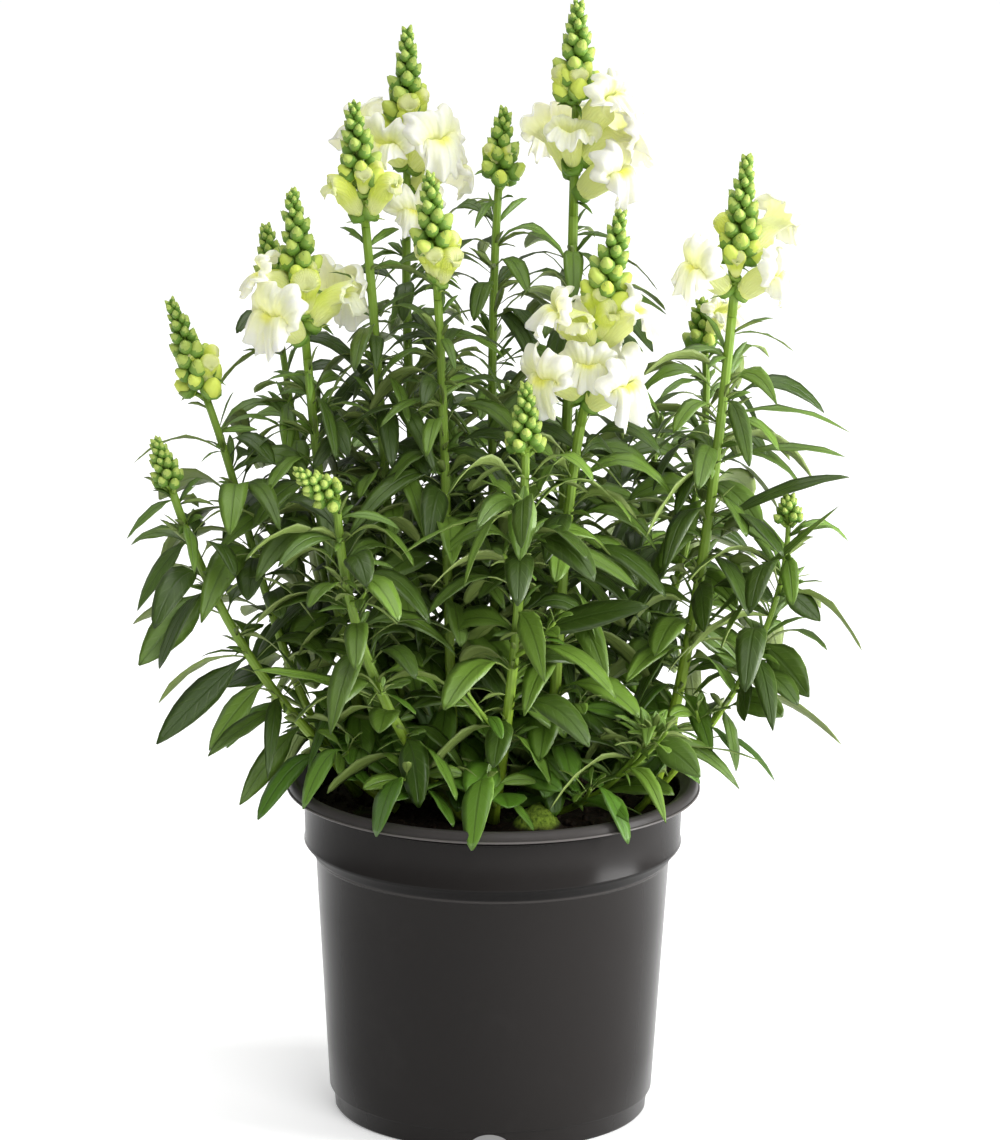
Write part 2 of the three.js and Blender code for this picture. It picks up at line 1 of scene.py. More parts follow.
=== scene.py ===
"""A bushy potted snapdragon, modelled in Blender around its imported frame."""

import copy
import math
import random
from collections import namedtuple

import bmesh
import bpy
import numpy as np
from bpy.props import FloatProperty, FloatVectorProperty, IntProperty, PointerProperty
from mathutils import Matrix, Vector, noise


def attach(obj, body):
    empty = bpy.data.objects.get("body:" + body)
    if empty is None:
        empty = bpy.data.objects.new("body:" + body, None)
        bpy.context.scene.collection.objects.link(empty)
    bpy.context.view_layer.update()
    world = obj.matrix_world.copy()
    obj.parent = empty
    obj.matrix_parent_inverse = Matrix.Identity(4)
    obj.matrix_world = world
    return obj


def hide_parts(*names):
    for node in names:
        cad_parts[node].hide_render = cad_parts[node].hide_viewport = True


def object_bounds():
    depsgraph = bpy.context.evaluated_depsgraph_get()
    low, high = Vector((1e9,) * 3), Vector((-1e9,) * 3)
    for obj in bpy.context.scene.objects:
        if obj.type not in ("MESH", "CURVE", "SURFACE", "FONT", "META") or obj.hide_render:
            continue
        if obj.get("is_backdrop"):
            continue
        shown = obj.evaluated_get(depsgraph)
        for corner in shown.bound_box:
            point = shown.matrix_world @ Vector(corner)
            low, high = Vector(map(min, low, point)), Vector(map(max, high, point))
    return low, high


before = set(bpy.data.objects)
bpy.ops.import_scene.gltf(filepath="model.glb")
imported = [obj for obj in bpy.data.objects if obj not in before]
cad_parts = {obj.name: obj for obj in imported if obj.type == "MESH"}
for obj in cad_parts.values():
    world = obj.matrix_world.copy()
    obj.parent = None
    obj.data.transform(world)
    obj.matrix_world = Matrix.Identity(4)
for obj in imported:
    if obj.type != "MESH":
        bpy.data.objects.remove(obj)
CAD_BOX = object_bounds()

bl_info = {
    "name": "Potted snapdragon",
    "version": (1, 0, 0),
    "blender": (4, 5, 0),
    "location": "3D View > Sidebar > Snapdragon",
    "description": "Pot, growing medium, leafy shoots, bud spikes and open flowers of a snapdragon",
    "category": "Add Mesh",
}

MM = 0.001
WHITE = (1, 1, 1, 1)
CAD_LOW, CAD_HIGH = (np.array(corner) / MM for corner in CAD_BOX)


def paint(code):
    """The linear colour of a six-digit screen colour."""
    screen = [int(code[k : k + 2], 16) / 255 for k in (0, 2, 4)]
    return tuple(c / 12.92 if c <= 0.04045 else ((c + 0.055) / 1.055) ** 2.4 for c in screen)


# ---- plan of the plant, in millimetres -------------------------------------

# foot: where the stem leaves the soil; crown: where the leafy stem ends; tip: of the spike;
# stem: radius at the foot; turn: bearing of the first leaf; budded: closed part of the spike;
# bud: radius of its largest closed bud; neck: an optional curve handle.
Shoot = namedtuple("Shoot", "foot crown tip stem leaves turn budded bud neck", defaults=[None])
SHOOTS = [
    Shoot((-22, 22), (-42, 45, 398), (-42, 45, 496), 2.6, 23, 20, 46, 4.6),
    Shoot((-34, 8), (-60, 12, 411), (-66, 12, 468), 2.6, 22, 95, 36, 4.4),
    Shoot((-16, -6), (-27, -8, 382), (-31, -8, 440), 2.5, 21, 200, 36, 4.4),
    Shoot((2, 18), (0, 42, 426), (2, 42, 460), 2.4, 24, 330, 33, 4.2),
    Shoot((24, 16), (34, 32, 413), (35, 32, 512), 2.9, 22, 60, 43, 4.6),
    Shoot((22, -14), (38, -22, 328), (55, -24, 427), 2.8, 19, 140, 42, 4.6),
    Shoot((72, 2), (106, 3, 373), (112, 5, 447), 2.8, 20, 250, 48, 4.2),
    Shoot((-50, 2), (-86, 2, 352), (-93, 4, 429), 2.6, 20, 170, 42, 4.5),
    Shoot((-46, 26), (-102, 38, 375), (-106, 40, 405), 1.9, 20, 10, 30, 3.2),
    Shoot((-62, 8), (-132, 2, 334), (-148, -2, 379), 2.2, 18, 300, 44, 4.4),
    Shoot((-44, -14), (-147, -14, 295), (-154, -14, 317), 2.4, 14, 80, 22, 2.4),
    Shoot((-14, -26), (-71, -62, 302), (-88, -78, 319), 2.5, 15, 225, 26, 3.0, (-68, -56, 235)),
    Shoot((0, -31), (13, -54, 323), (13, -54, 354), 2.6, 17, 120, 30, 3.2),
    Shoot((66, -12), (133, -8, 280), (133, -8, 293), 1.6, 14, 45, 13, 2.0),
    Shoot((28, -18), (73, -50, 193), (87, -58, 215), 1.6, 12, 190, 0, 0),
    Shoot((50, 28), (95, 44, 350), (93, 46, 371), 2.2, 20, 275, 20, 3.4),
    Shoot((-26, 40), (-70, 84, 295), (-74, 88, 317), 2.0, 18, 150, 0, 0),
    Shoot((4, 46), (6, 98, 313), (6, 101, 335), 2.1, 19, 35, 0, 0),
    Shoot((34, 42), (76, 84, 301), (80, 87, 323), 2.0, 18, 265, 0, 0),
]

# Open flowers: spike number, distance below the spike's tip, bearing in degrees, size, rise of
# the face, how far opened.
OPEN_FLOWERS = [
    (1, 66, 232, 1.0, 12, 0.85), (1, 68, 325, 1.0, 20, 1), (1, 92, 286, 1.0, 4, 1),
    (1, 80, 20, 0.95, 14, 1), (1, 62, 160, 0.9, 14, 1), (5, 80, 256, 1.08, 56, 0.8),
    (5, 66, 342, 1.05, 30, 0.85), (5, 78, 8, 1.0, 10, 1), (5, 93, 340, 1.05, 8, 1),
    (5, 84, 110, 0.95, 14, 1), (6, 67, 188, 0.98, 26, 0.85), (6, 82, 268, 0.95, 14, 1),
    (6, 90, 208, 1.0, 2, 1), (6, 95, 330, 1.05, 6, 1), (6, 67, 356, 0.98, 28, 0.8),
    (6, 78, 85, 0.9, 14, 1), (7, 66, 200, 0.95, 10, 1), (7, 52, 28, 0.9, 24, 0.8),
    (7, 68, 346, 0.9, 8, 1), (8, 72, 216, 1.0, 12, 1), (8, 57, 176, 0.9, 24, 0.8),
    (8, 68, 50, 0.9, 14, 1), (16, 19, 318, 0.7, 30, 0.7),
]

# Hooded flowers, given like the open ones with how far each has opened.
HOODED_FLOWERS = [
    (1, 50, 275, 0.8, 0), (1, 46, 345, 0.7, 0), (2, 57, 190, 1.0, 0.34), (2, 56, 335, 1.0, 0.24),
    (2, 46, 272, 0.65, 0), (2, 44, 350, 0.65, 0), (3, 52, 262, 0.72, 0), (3, 55, 320, 0.85, 0.1),
    (3, 46, 350, 0.75, 0), (3, 51, 212, 0.75, 0), (4, 30, 320, 0.5, 0), (4, 30, 212, 0.5, 0),
    (5, 50, 195, 0.8, 0), (5, 48, 280, 0.7, 0), (6, 66, 238, 0.95, 0.5), (6, 64, 310, 0.95, 0.15),
    (6, 52, 270, 0.62, 0), (6, 54, 205, 0.6, 0), (7, 48, 160, 0.8, 0), (7, 60, 274, 0.65, 0),
    (7, 58, 236, 0.55, 0), (8, 61, 275, 1.05, 0), (8, 66, 345, 1.15, 0.55), (8, 48, 330, 0.6, 0),
    (10, 46, 292, 0.7, 0), (10, 42, 210, 0.6, 0), (10, 40, 350, 0.6, 0),
]

# Leaves given one by one: shoot, fraction up its stem, tip, width, lift of the middle, roll.
PLACED_LEAVES = [
    (11, 0.72, (-161, -34, 217), 17, 4, -62), (11, 0.86, (-162, -24, 240), 9, 9, -35),
    (11, 0.52, (-153, -34, 180), 14, 5, -50), (11, 0.44, (-130, -12, 171), 12, 6, -60),
    (11, 0.3, (-115, -42, 154), 12, 5, -70), (11, 0.97, (-167, -18, 272), 7, 7, -20),
    (11, 0.36, (-129, -50, 179), 10, 6, -15), (7, 0.8, (161, 5, 319), 7, 15, 10),
    (7, 0.71, (158, -8, 311), 8, 12, 12), (7, 0.58, (160, -14, 303), 12, 12, 20),
    (7, 0.36, (155, -24, 292), 10, 2, 25), (14, 0.8, (148, -16, 236), 11, 2, 55),
    (14, 0.62, (143, -30, 204), 16, 5, 60), (14, 0.5, (114, -32, 193), 15, 5, 65),
    (15, 0.92, (93, -76, 179), 14, 6, 50), (15, 0.8, (122, -50, 179), 7, 10, -15),
    (15, 0.3, (82, -50, 163), 16, 10, 20), (15, 0.12, (61, -81, 159), 12, 16, 10),
    (13, 0.52, (69, -72, 257), 15, 6, 42), (13, 0.76, (64, -66, 263), 12, 14, 15),
    (13, 0.93, (11, -74, 278), 13, 3, 0), (13, 0.84, (-42, -70, 279), 8, 12, 10),
    (13, 0.12, (-6, -78, 161), 14, 12, 5), (12, 0.1, (-50, -70, 163), 13, 8, -10),
    (12, 0.42, (-108, -66, 224), 8, 8, -20),
]

# Short side branches: shoot, fraction up its stem, tip, length of their leaves.
SIDE_BRANCHES = [
    (13, 0.26, (-12, -62, 214), 21), (13, 0.48, (27, -64, 247), 20), (13, 0.05, (-3, -64, 172), 26),
    (15, 0.14, (44, -58, 168), 26), (12, 0.14, (-40, -60, 172), 28), (12, 0.5, (-50, -74, 216), 20),
    (11, 0.2, (-66, -36, 178), 26), (15, 0.55, (78, -62, 196), 24), (14, 0.3, (92, -26, 196), 24),
    (7, 0.12, (74, 26, 178), 26), (9, 0.12, (-66, 40, 178), 26), (18, 0.1, (10, 70, 176), 26),
    (17, 0.14, (-40, 66, 180), 26), (19, 0.14, (46, 68, 182), 26), (8, 0.16, (-74, -8, 186), 26),
    (12, 0.74, (-58, -72, 262), 16), (13, 0.7, (4, -70, 280), 14), (6, 0.3, (40, -34, 200), 24),
]

# Leaves that hang over the rim: shoot, base, tip, width, lift, roll.
RIM_LEAVES = [
    (13, (-3, -64, 172), (-9, -97.5, 150), 18.5, 26, 30),
    (15, (44, -58, 168), (61, -78, 148), 14, 19, -24),
    (12, (-40, -60, 172), (-52, -84, 152), 20, 19, 30),
    (11, (-66, -36, 178), (-86, -48, 154), 12, 20, -18),
    (19, (46, 68, 182), (58, 82, 152), 14, 18, 0), (9, (-66, 40, 178), (-84, 55, 152), 15, 18, 0),
]

POT_HEIGHT = 157
RIM_RADIUS = 95
SOIL_TOP = 144
MOSS_CLUMP = (20 * MM, -36 * MM, 148 * MM)
MOSS_RISE, MOSS_REACH = 11 * MM, 14 * MM
CLEARANCE = 0.3
RIM_ZONE = (RIM_RADIUS - 9, POT_HEIGHT + 30)
SPREAD = 0.55
KNEE_RISE = 0.28
NECK_LENGTH = 0.33
STEM_TAPER = 0.8
GOLDEN_ANGLE = 137.5
UP = np.array([0.0, 0.0, 1.0])


# ---- growth: curves, frames and room ---------------------------------------


def mix(low, high, share):
    return (1 - share) * low + share * high


def smooth(value, start, end):
    """Eases from 0 at start to 1 at end."""
    share = np.clip((value - start) / (end - start), 0, 1)
    return share * share * (3 - 2 * share)


def vary(seed):
    """A repeatable number from 0 to 1 for natural variation."""
    wave = math.sin(seed * 12.9898 + 4.1414) * 43758.5453
    return wave - math.floor(wave)


def between(low, high, seed):
    """A repeatable number between two others."""
    return mix(low, high, vary(seed))


def unit(vector):
    return vector / np.linalg.norm(vector, axis=-1, keepdims=True)


def heading(bearing, rise=0.0):
    """The direction at a compass bearing from +X, lifted by a rise, both in degrees."""
    turn, lift = math.radians(bearing), math.radians(rise)
    level = math.cos(lift)
    return np.array([math.cos(turn) * level, math.sin(turn) * level, math.sin(lift)])


def bearing_of(way):
    """The compass bearing of a direction, in degrees."""
    return math.degrees(math.atan2(way[1], way[0]))


def bezier(handles, share):
    """Points on a curve of any number of handles."""
    points = [np.asarray(h, float) for h in handles]
    share = np.atleast_1d(share)[:, None]
    while len(points) > 1:
        points = [(1 - share) * a + share * b for a, b in zip(points, points[1:])]
    return points[0]


def direction(handles, share):
    """The curve's direction, from two points close by."""
    share = np.atleast_1d(share)
    ahead = bezier(handles, np.minimum(share + 1e-4, 1))
    return unit(ahead - bezier(handles, np.maximum(share - 1e-4, 0)))


def across(axis):
    """Two directions square to each axis; the first stays close to +X."""
    sideways = np.array([1.0, 0.0, 0.0]) - axis * axis[..., :1]
    sideways = unit(sideways)
    return sideways, np.cross(axis, sideways)


def stem_curve(shoot):
    foot = np.array([*shoot.foot, SOIL_TOP + CLEARANCE])
    crown = np.array(shoot.crown, float)
    spike = unit(np.array(shoot.tip, float) - crown)
    knee = mix(foot, crown, SPREAD)
    knee[2] = mix(foot[2], crown[2], KNEE_RISE)
    reach = NECK_LENGTH * np.linalg.norm(crown - foot)
    neck = crown - spike * reach if shoot.neck is None else np.array(shoot.neck, float)
    return [foot, knee, neck, crown]


def below_tip(shoot, drop):
    """The point of the spike's axis that lies a distance below its tip."""
    tip = np.array(shoot.tip, float)
    return tip - unit(tip - np.array(shoot.crown, float)) * drop


def bud_reach(shoot, drop):
    """Distance from the spike's axis to the outside of its buds."""
    return mix(1.3, shoot.bud * 2, min(drop / shoot.budded, 1) ** 0.9)


# rises of flowers in degrees, the length of their stalks, and the balls kept free for them
FLOWER_RISE, FACE_RISE, HOOD_RISE = 50, 14, 58
PEDICEL = 4
FLOWER_MIDDLE, FACE_AHEAD = 15, 3
FLOWER_ROOM, HOOD_ROOM = 13, 9
Place = namedtuple("Place", "number size root seat aim out face")


def flower_place(flower, rise, face=FACE_RISE, swing=0):
    number, drop, bearing, size = flower[:4]
    root = below_tip(SHOOTS[number - 1], drop)
    aim = heading(bearing, rise)
    seat = root + aim * PEDICEL
    return Place(number, size, root, seat, aim, heading(bearing), heading(bearing + swing, face))


# base, tip: the two ends; lift: how far the middle bows up; roll: turn about the length;
# twist: further turn from base to tip, none at UNTWISTED of the way; age: from 0 on the oldest
# leaf to 1 on the youngest.
Leaf = namedtuple("Leaf", "base tip width lift roll twist age tint")
UNTWISTED = 0.36


def leaf_frame(leaf, share):
    """Midrib points with the directions to the side and to the upper face."""
    chord = leaf.tip - leaf.base
    midrib = [leaf.base, leaf.base + chord / 2 + UP * leaf.lift, leaf.tip]
    share = np.atleast_1d(share)
    along = direction(midrib, share)
    level = unit(np.cross(UP, chord))
    tilted = unit(np.cross(chord, level))
    roll = np.radians(leaf.roll + leaf.twist * (share - UNTWISTED))[:, None]
    side = np.cos(roll) * level + np.sin(roll) * tilted
    side = unit(side - along * np.sum(side * along, axis=1, keepdims=True))
    return bezier(midrib, share), side, np.cross(along, side)


class Room:
    """Balls that later leaves keep clear of, each with the shoot that owns it."""

    LEAF_REACH = 2.1
    INNER_SOIL = 56
    RIM_GAP = 3
    SOIL_GAP = 3.5
    PROBES = np.array([
        (0.28, 0), (0.42, 0), (0.56, 0), (0.7, 0), (0.84, 0), (1, 0),
        (0.36, 0.9), (0.36, -0.9), (0.55, 0.85), (0.55, -0.85), (0.74, 0.7), (0.74, -0.7),
    ])

    def __init__(self):
        self.balls = []

    def fill(self, points, reach, owner):
        self.balls.extend((*point, reach, owner) for point in np.atleast_2d(points))

    def probes(self, leaf):
        point, side, _ = leaf_frame(leaf._replace(twist=0), self.PROBES[:, 0])
        return point + side * self.PROBES[:, 1:] * leaf.width / 2

    def is_clear(self, points, owner):
        radius = np.hypot(points[:, 0], points[:, 1])
        above_rim, above_soil = POT_HEIGHT + self.RIM_GAP, SOIL_TOP + self.SOIL_GAP
        lowest = np.where(radius > self.INNER_SOIL, above_rim, above_soil)
        if np.any((radius < RIM_RADIUS + self.RIM_GAP) & (points[:, 2] < lowest)):
            return False
        balls = np.array(self.balls)
        balls = balls[balls[:, 4] != owner]
        apart = np.linalg.norm(points[:, None] - balls[None, :, :3], axis=2)
        return bool(np.all(apart > balls[:, 3] + self.LEAF_REACH))


def by_height(values, share):
    """Between a low, a middle and a young value by the height on the stem."""
    low, middle, young = values
    return mix(mix(middle, low, 1 - smooth(share, 0, 0.5)), young, smooth(share, 0.72, 1))


def over_rim(leaf):
    """Whether a low leaf would hide the rim of the pot."""
    return np.hypot(*leaf.tip[:2]) > RIM_ZONE[0] and leaf.tip[2] < RIM_ZONE[1]


# for a low, a middle and a young leaf
LEAF_LENGTH = (42, 51, 26)
LEAF_WIDTH = (15.5, 13, 5.5)
LEAF_SLOPE = (-34, -18, -10)
# what a leaf tries in turn until it finds room
LEAF_SHORTENED = (1, 0.78)
LEAF_SWINGS = (0, 13, -13, 26, -26, 39, -39, 52, -52)


def leaf_at(base, bearing, share, seed, shorten=1.0):
    """A leaf as it grows at this height of the stem."""
    length = by_height(LEAF_LENGTH, share) * between(0.86, 1.14, seed + 1)
    slope = by_height(LEAF_SLOPE, share) + between(-18, 18, seed + 3)
    return Leaf(
        base=base,
        tip=base + heading(bearing, slope) * length * shorten,
        width=by_height(LEAF_WIDTH, share) * between(0.8, 1.2, seed + 2),
        lift=length * shorten * between(0.28, 0.52, seed + 4),
        roll=between(-45, 45, seed + 5),
        twist=between(-26, 26, seed + 7),
        age=share,
        tint=vary(seed + 8),
    )


def sprout(base, aim, size, seed, width, lift, roll, twist, age, tint):
    """A leaf of a given length; its width and lift are ranges in shares of that length."""
    width, lift = between(*width, seed + 20), between(*lift, seed + 30)
    roll, tint = between(-roll, roll, seed + 40), between(*tint, seed + 50)
    return Leaf(base, base + aim * size, size * width, size * lift, roll, twist, age, tint)


def grow_leaf(room, number, shoot, index):
    """The first of several turns and lengths in which the leaf finds room."""
    seed = number * 100 + index
    share = (index + 0.5) / shoot.leaves
    base = bezier(stem_curve(shoot), mix(0.1, 0.985, share))[0]
    bearing = shoot.turn + index * GOLDEN_ANGLE + between(-12, 12, seed + 6)
    for shorten in LEAF_SHORTENED:
        for swing in LEAF_SWINGS:
            leaf = leaf_at(base, bearing + swing, share, seed, shorten)
            if room.is_clear(room.probes(leaf), number):
                return leaf
    return None


def plan_leaves():
    """The leaves of every shoot, each clear of its neighbours."""
    room = Room()
    for number, shoot in enumerate(SHOOTS, 1):
        room.fill(bezier(stem_curve(shoot), np.linspace(0, 1, 41)), shoot.stem + 1.2, number)
        length = np.linalg.norm(np.subtract(shoot.tip, shoot.crown))
        for drop in np.arange(0, length if shoot.budded else 0, 5):
            room.fill(below_tip(shoot, drop), bud_reach(shoot, drop) + 1.5, number)
    for flower in OPEN_FLOWERS:
        place = flower_place(flower, FLOWER_RISE)
        middle = place.aim * FLOWER_MIDDLE + place.face * FACE_AHEAD
        room.fill(place.seat + middle * place.size, FLOWER_ROOM * place.size, 0)
    for flower in HOODED_FLOWERS:
        place = flower_place(flower, HOOD_RISE)
        middle = place.aim * FLOWER_MIDDLE
        room.fill(place.seat + middle * place.size, HOOD_ROOM * place.size, 0)
    flowers_only = len(room.balls)
    leaves = {number: [] for number in range(1, len(SHOOTS) + 1)}
    for at, (number, share, tip, width, lift, roll) in enumerate(PLACED_LEAVES):
        base = bezier(stem_curve(SHOOTS[number - 1]), share)[0]
        twist, tint = between(-12, 12, at), vary(at + 50)
        leaf = Leaf(base, np.array(tip, float), width, lift, roll, twist, share, tint)
        leaves[number].append(leaf)
        room.fill(room.probes(leaf), room.LEAF_REACH, number)
    for number, shoot in enumerate(SHOOTS, 1):
        for index in range(shoot.leaves):
            leaf = grow_leaf(room, number, shoot, index)
            if leaf:
                leaves[number].append(leaf)
                room.fill(room.probes(leaf), room.LEAF_REACH, number)
    room.balls = room.balls[:flowers_only]
    return leaves, room


# ---- blanks: shapes modelled once and copied -------------------------------


def start_fresh():
    """Nothing is selected before a primitive is added."""
    if bpy.context.object and bpy.context.object.mode != "OBJECT":
        bpy.ops.object.mode_set(mode="OBJECT")
    bpy.ops.object.select_all(action="DESELECT")


def add_object(name, data):
    """Puts new data into the scene as an object."""
    made = bpy.data.objects.new(name, data)
    bpy.context.collection.objects.link(made)
    return made


def coat(piece, material):
    piece.data.materials.clear()
    piece.data.materials.append(material)


SAME_HEIGHT, SAME_PLACE = 1e-5, 1e-4


def pick(shape, wanted):
    """Selects the vertices of a shape in edit mode whose place is wanted."""
    bpy.ops.mesh.select_all(action="DESELECT")
    mesh = bmesh.from_edit_mesh(shape.data)
    for vertex in mesh.verts:
        vertex.select = wanted(vertex.co)
    mesh.select_flush(True)
    bmesh.update_edit_mesh(shape.data)


def finish_shape(shape, modifiers=()):
    """Leaves edit mode and applies modifiers, given as their type and settings."""
    bpy.ops.object.mode_set(mode="OBJECT")
    for kind, settings in modifiers:
        modifier = shape.modifiers.new(kind.title(), kind)
        for name, value in settings.items():
            setattr(modifier, name, value)
        bpy.ops.object.modifier_apply(modifier=modifier.name)
    return shape


class Blank:
    """The points, faces and face coordinates of a shape, which is then removed."""

    def __init__(self, shape, coordinates):
        mesh = shape.data
        self.points = np.array([v.co for v in mesh.vertices])
        self.faces = [tuple(p.vertices) for p in mesh.polygons]
        self.uv = [
            coordinates(Vector(mesh.vertices[i].co), p.normal)
            for p in mesh.polygons for i in p.vertices
        ]
        bpy.data.objects.remove(shape)
        bpy.data.meshes.remove(mesh)

    def shaped(self, points):
        """The same blank with its points moved."""
        twin = copy.copy(self)
        twin.points = points
        return twin


def blade_blank(rows, columns, thickness):
    """A flat leaf blank, -1 to 1 across and 0 to 1 along, whose two faces share their margin."""
    # while it is shaped, the blank is stretched and stands past the grid, so that no row that has
    # been moved is picked again
    steps, stretch = len(rows) - 1, 4
    start_fresh()
    bpy.ops.mesh.primitive_grid_add(x_subdivisions=columns, y_subdivisions=steps, size=2)
    blade = bpy.context.object
    bpy.ops.object.mode_set(mode="EDIT")
    for step, (along, half) in enumerate(rows):
        level = 2 * step / steps - 1
        pick(blade, lambda co: abs(co.y - level) < SAME_PLACE)
        bpy.ops.transform.resize(value=(half, 1, 1))
        bpy.ops.transform.translate(value=(0, along * stretch + stretch - level, 0))
    bpy.ops.mesh.select_all(action="SELECT")
    bpy.ops.transform.translate(value=(0, -stretch, 0))
    bpy.ops.mesh.duplicate()
    bpy.ops.mesh.flip_normals()
    mesh = bmesh.from_edit_mesh(blade.data)
    for vertex in mesh.verts:
        vertex.select = vertex.select and not vertex.is_boundary
    mesh.select_flush(True)
    bpy.ops.transform.translate(value=(0, 0, -thickness))
    bpy.ops.mesh.select_all(action="SELECT")
    bpy.ops.mesh.remove_doubles(threshold=1e-5)
    finish_shape(blade)
    for vertex in blade.data.vertices:
        vertex.co.y /= stretch
    alongs, halves = zip(*rows)
    return Blank(blade, lambda co, normal: (
        co.y, (co.x / np.interp(co.y, alongs, halves) + 1) / 2 + (normal.z < 0)
    ))


def stalk_blank(sides, rings):
    """A round stalk of radius 1 and length 1 with rings for bending, closed at both ends."""
    start_fresh()
    bpy.ops.mesh.primitive_cylinder_add(
        vertices=sides, radius=1, depth=1, location=(0, 0, 0.5), end_fill_type="TRIFAN"
    )
    stalk = bpy.context.object
    bpy.ops.object.transform_apply()
    bpy.ops.object.mode_set(mode="EDIT")
    for ring in range(1, rings):
        bpy.ops.mesh.select_all(action="SELECT")
        bpy.ops.mesh.bisect(plane_co=(0, 0, ring / rings), plane_no=(0, 0, 1))
    finish_shape(stalk)
    return Blank(stalk, lambda co, normal: (co.z, math.atan2(co.y, co.x) / math.tau + 0.5))


def turned_blank(sides, profile, shut=True):
    """A shape turned from (radius, height) rings, drawn to a point below and, if shut, above."""
    start_fresh()
    radius, height = profile[0]
    bpy.ops.mesh.primitive_circle_add(vertices=sides, radius=radius, location=(0, 0, height))
    shape = bpy.context.object
    bpy.ops.object.transform_apply()
    bpy.ops.object.mode_set(mode="EDIT")
    bpy.ops.mesh.select_all(action="SELECT")
    bpy.ops.mesh.extrude_region_move()
    bpy.ops.mesh.merge(type="CENTER")
    for (inner, low), (outer, high) in zip(profile, profile[1:]):
        pick(shape, lambda co: (
            abs(co.z - low) < SAME_HEIGHT and abs(co.xy.length - inner) < SAME_PLACE
        ))
        bpy.ops.mesh.extrude_region_move(TRANSFORM_OT_translate={"value": (0, 0, high - low)})
        bpy.ops.transform.resize(value=(outer / inner, outer / inner, 1))
    if shut:
        bpy.ops.mesh.extrude_region_move()
        bpy.ops.mesh.merge(type="CENTER")
    bpy.ops.mesh.select_all(action="SELECT")
    bpy.ops.mesh.normals_make_consistent(inside=False)
    return finish_shape(shape)


def around(co, normal):
    """Face coordinates of a turned shape: the turn and the height."""
    return (math.atan2(co.y, co.x) / math.tau) % 1.0, co.z


SLEEVE_BASE = 0.02
SLEEVE_WALL = 0.1


def sleeve_blank(sides, rings):
    """A thin-walled sleeve of radius 1 and height 1, closed below and open above."""
    profile = [(1, SLEEVE_BASE + (1 - SLEEVE_BASE) * k / rings) for k in range(rings + 1)]
    sleeve = turned_blank(sides, profile, shut=False)
    wall = ("SOLIDIFY", {"thickness": SLEEVE_WALL, "offset": -1.0})
    return Blank(finish_shape(sleeve, [wall]), around)


# ---- laying copies into one mesh -------------------------------------------


class Growth:
    """Collects laid copies of blanks into the mesh of one piece."""

    def __init__(self):
        self.points, self.faces, self.uv, self.finish = [], [], [], []
        self.tint, self.age = [], []

    def lay(self, blank, points, finish, tint=0.5, age=0.0):
        first = len(self.tint)
        self.points.append(points)
        self.faces.extend(tuple(first + i for i in face) for face in blank.faces)
        self.uv.extend(blank.uv)
        self.finish.extend([finish] * len(blank.faces))
        self.tint.extend(np.broadcast_to(tint, len(points)))
        self.age.extend(np.broadcast_to(age, len(points)))

    def piece(self, name, node, slot, finishes):
        """Makes the piece that stands for a node of the frame."""
        mesh = bpy.data.meshes.new(name)
        mesh.from_pydata(np.vstack(self.points) * MM, [], self.faces)
        corners = np.array(self.uv, np.float32).ravel()
        mesh.uv_layers.new(name="UVMap").uv.foreach_set("vector", corners)
        for label, values in (("tint", self.tint), ("age", self.age)):
            mesh.attributes.new(label, "FLOAT", "POINT").data.foreach_set("value", values)
        for finish in finishes:
            mesh.materials.append(finish)
        mesh.polygons.foreach_set("material_index", self.finish)
        mesh.polygons.foreach_set("use_smooth", [True] * len(mesh.polygons))
        piece = add_object(name, mesh)
        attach(piece, "root")
        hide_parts(node)


MARGIN_CURL = 0.16


def lay_blade(growth, blank, leaf, finish, fold=0.22, wave=0.0):
    """Bends a leaf blank along its midrib, folded up from it with the margins curving down."""
    side_share, along, above = blank.points.T
    point, side, top = leaf_frame(leaf, along)
    half = leaf.width / 2 * side_share
    ripple = wave * np.sin(along * 19 + leaf.tint * 40 + np.sign(side_share)) * np.abs(side_share)
    bow = fold * np.abs(half) - MARGIN_CURL * leaf.width / 2 * side_share ** 2
    height = above + bow + ripple
    points = point - side * half[:, None] + top * height[:, None]
    growth.lay(blank, points, finish, leaf.tint, leaf.age)


def lay_stalk(growth, blank, handles, radius, finish, tint=0.5, age=0.0):
    """Bends a stalk blank along a curve; radius is a number or a function of the way along."""
    x, y, along = blank.points.T
    u, v = across(direction(handles, along))
    reach = radius(along) if callable(radius) else np.full(len(along), radius)
    points = bezier(handles, along) + (u * x[:, None] + v * y[:, None]) * reach[:, None]
    growth.lay(blank, points, finish, tint, age)


def lay_upright(growth, blank, base, axis, width, length, finish, tint=0.5, age=0.0):
    """Stands a turned blank of radius 1 and height 1 on a base point along an axis."""
    u, v = across(axis)
    x, y, z = blank.points.T
    points = base + (np.outer(x, u) + np.outer(y, v)) * width + np.outer(z, axis) * length
    growth.lay(blank, points, finish, tint, age)


# ---- flowers: a sleeve drawn out into a tube and two lips ------------------


def lips(throat, rows, inner_edge=None):
    """Rows of steps, each from a throat radius on, with an edge that all rows may share."""
    last = [inner_edge] if inner_edge else []
    return np.array([[(throat, 0, 0), *row, *last] for row in rows])


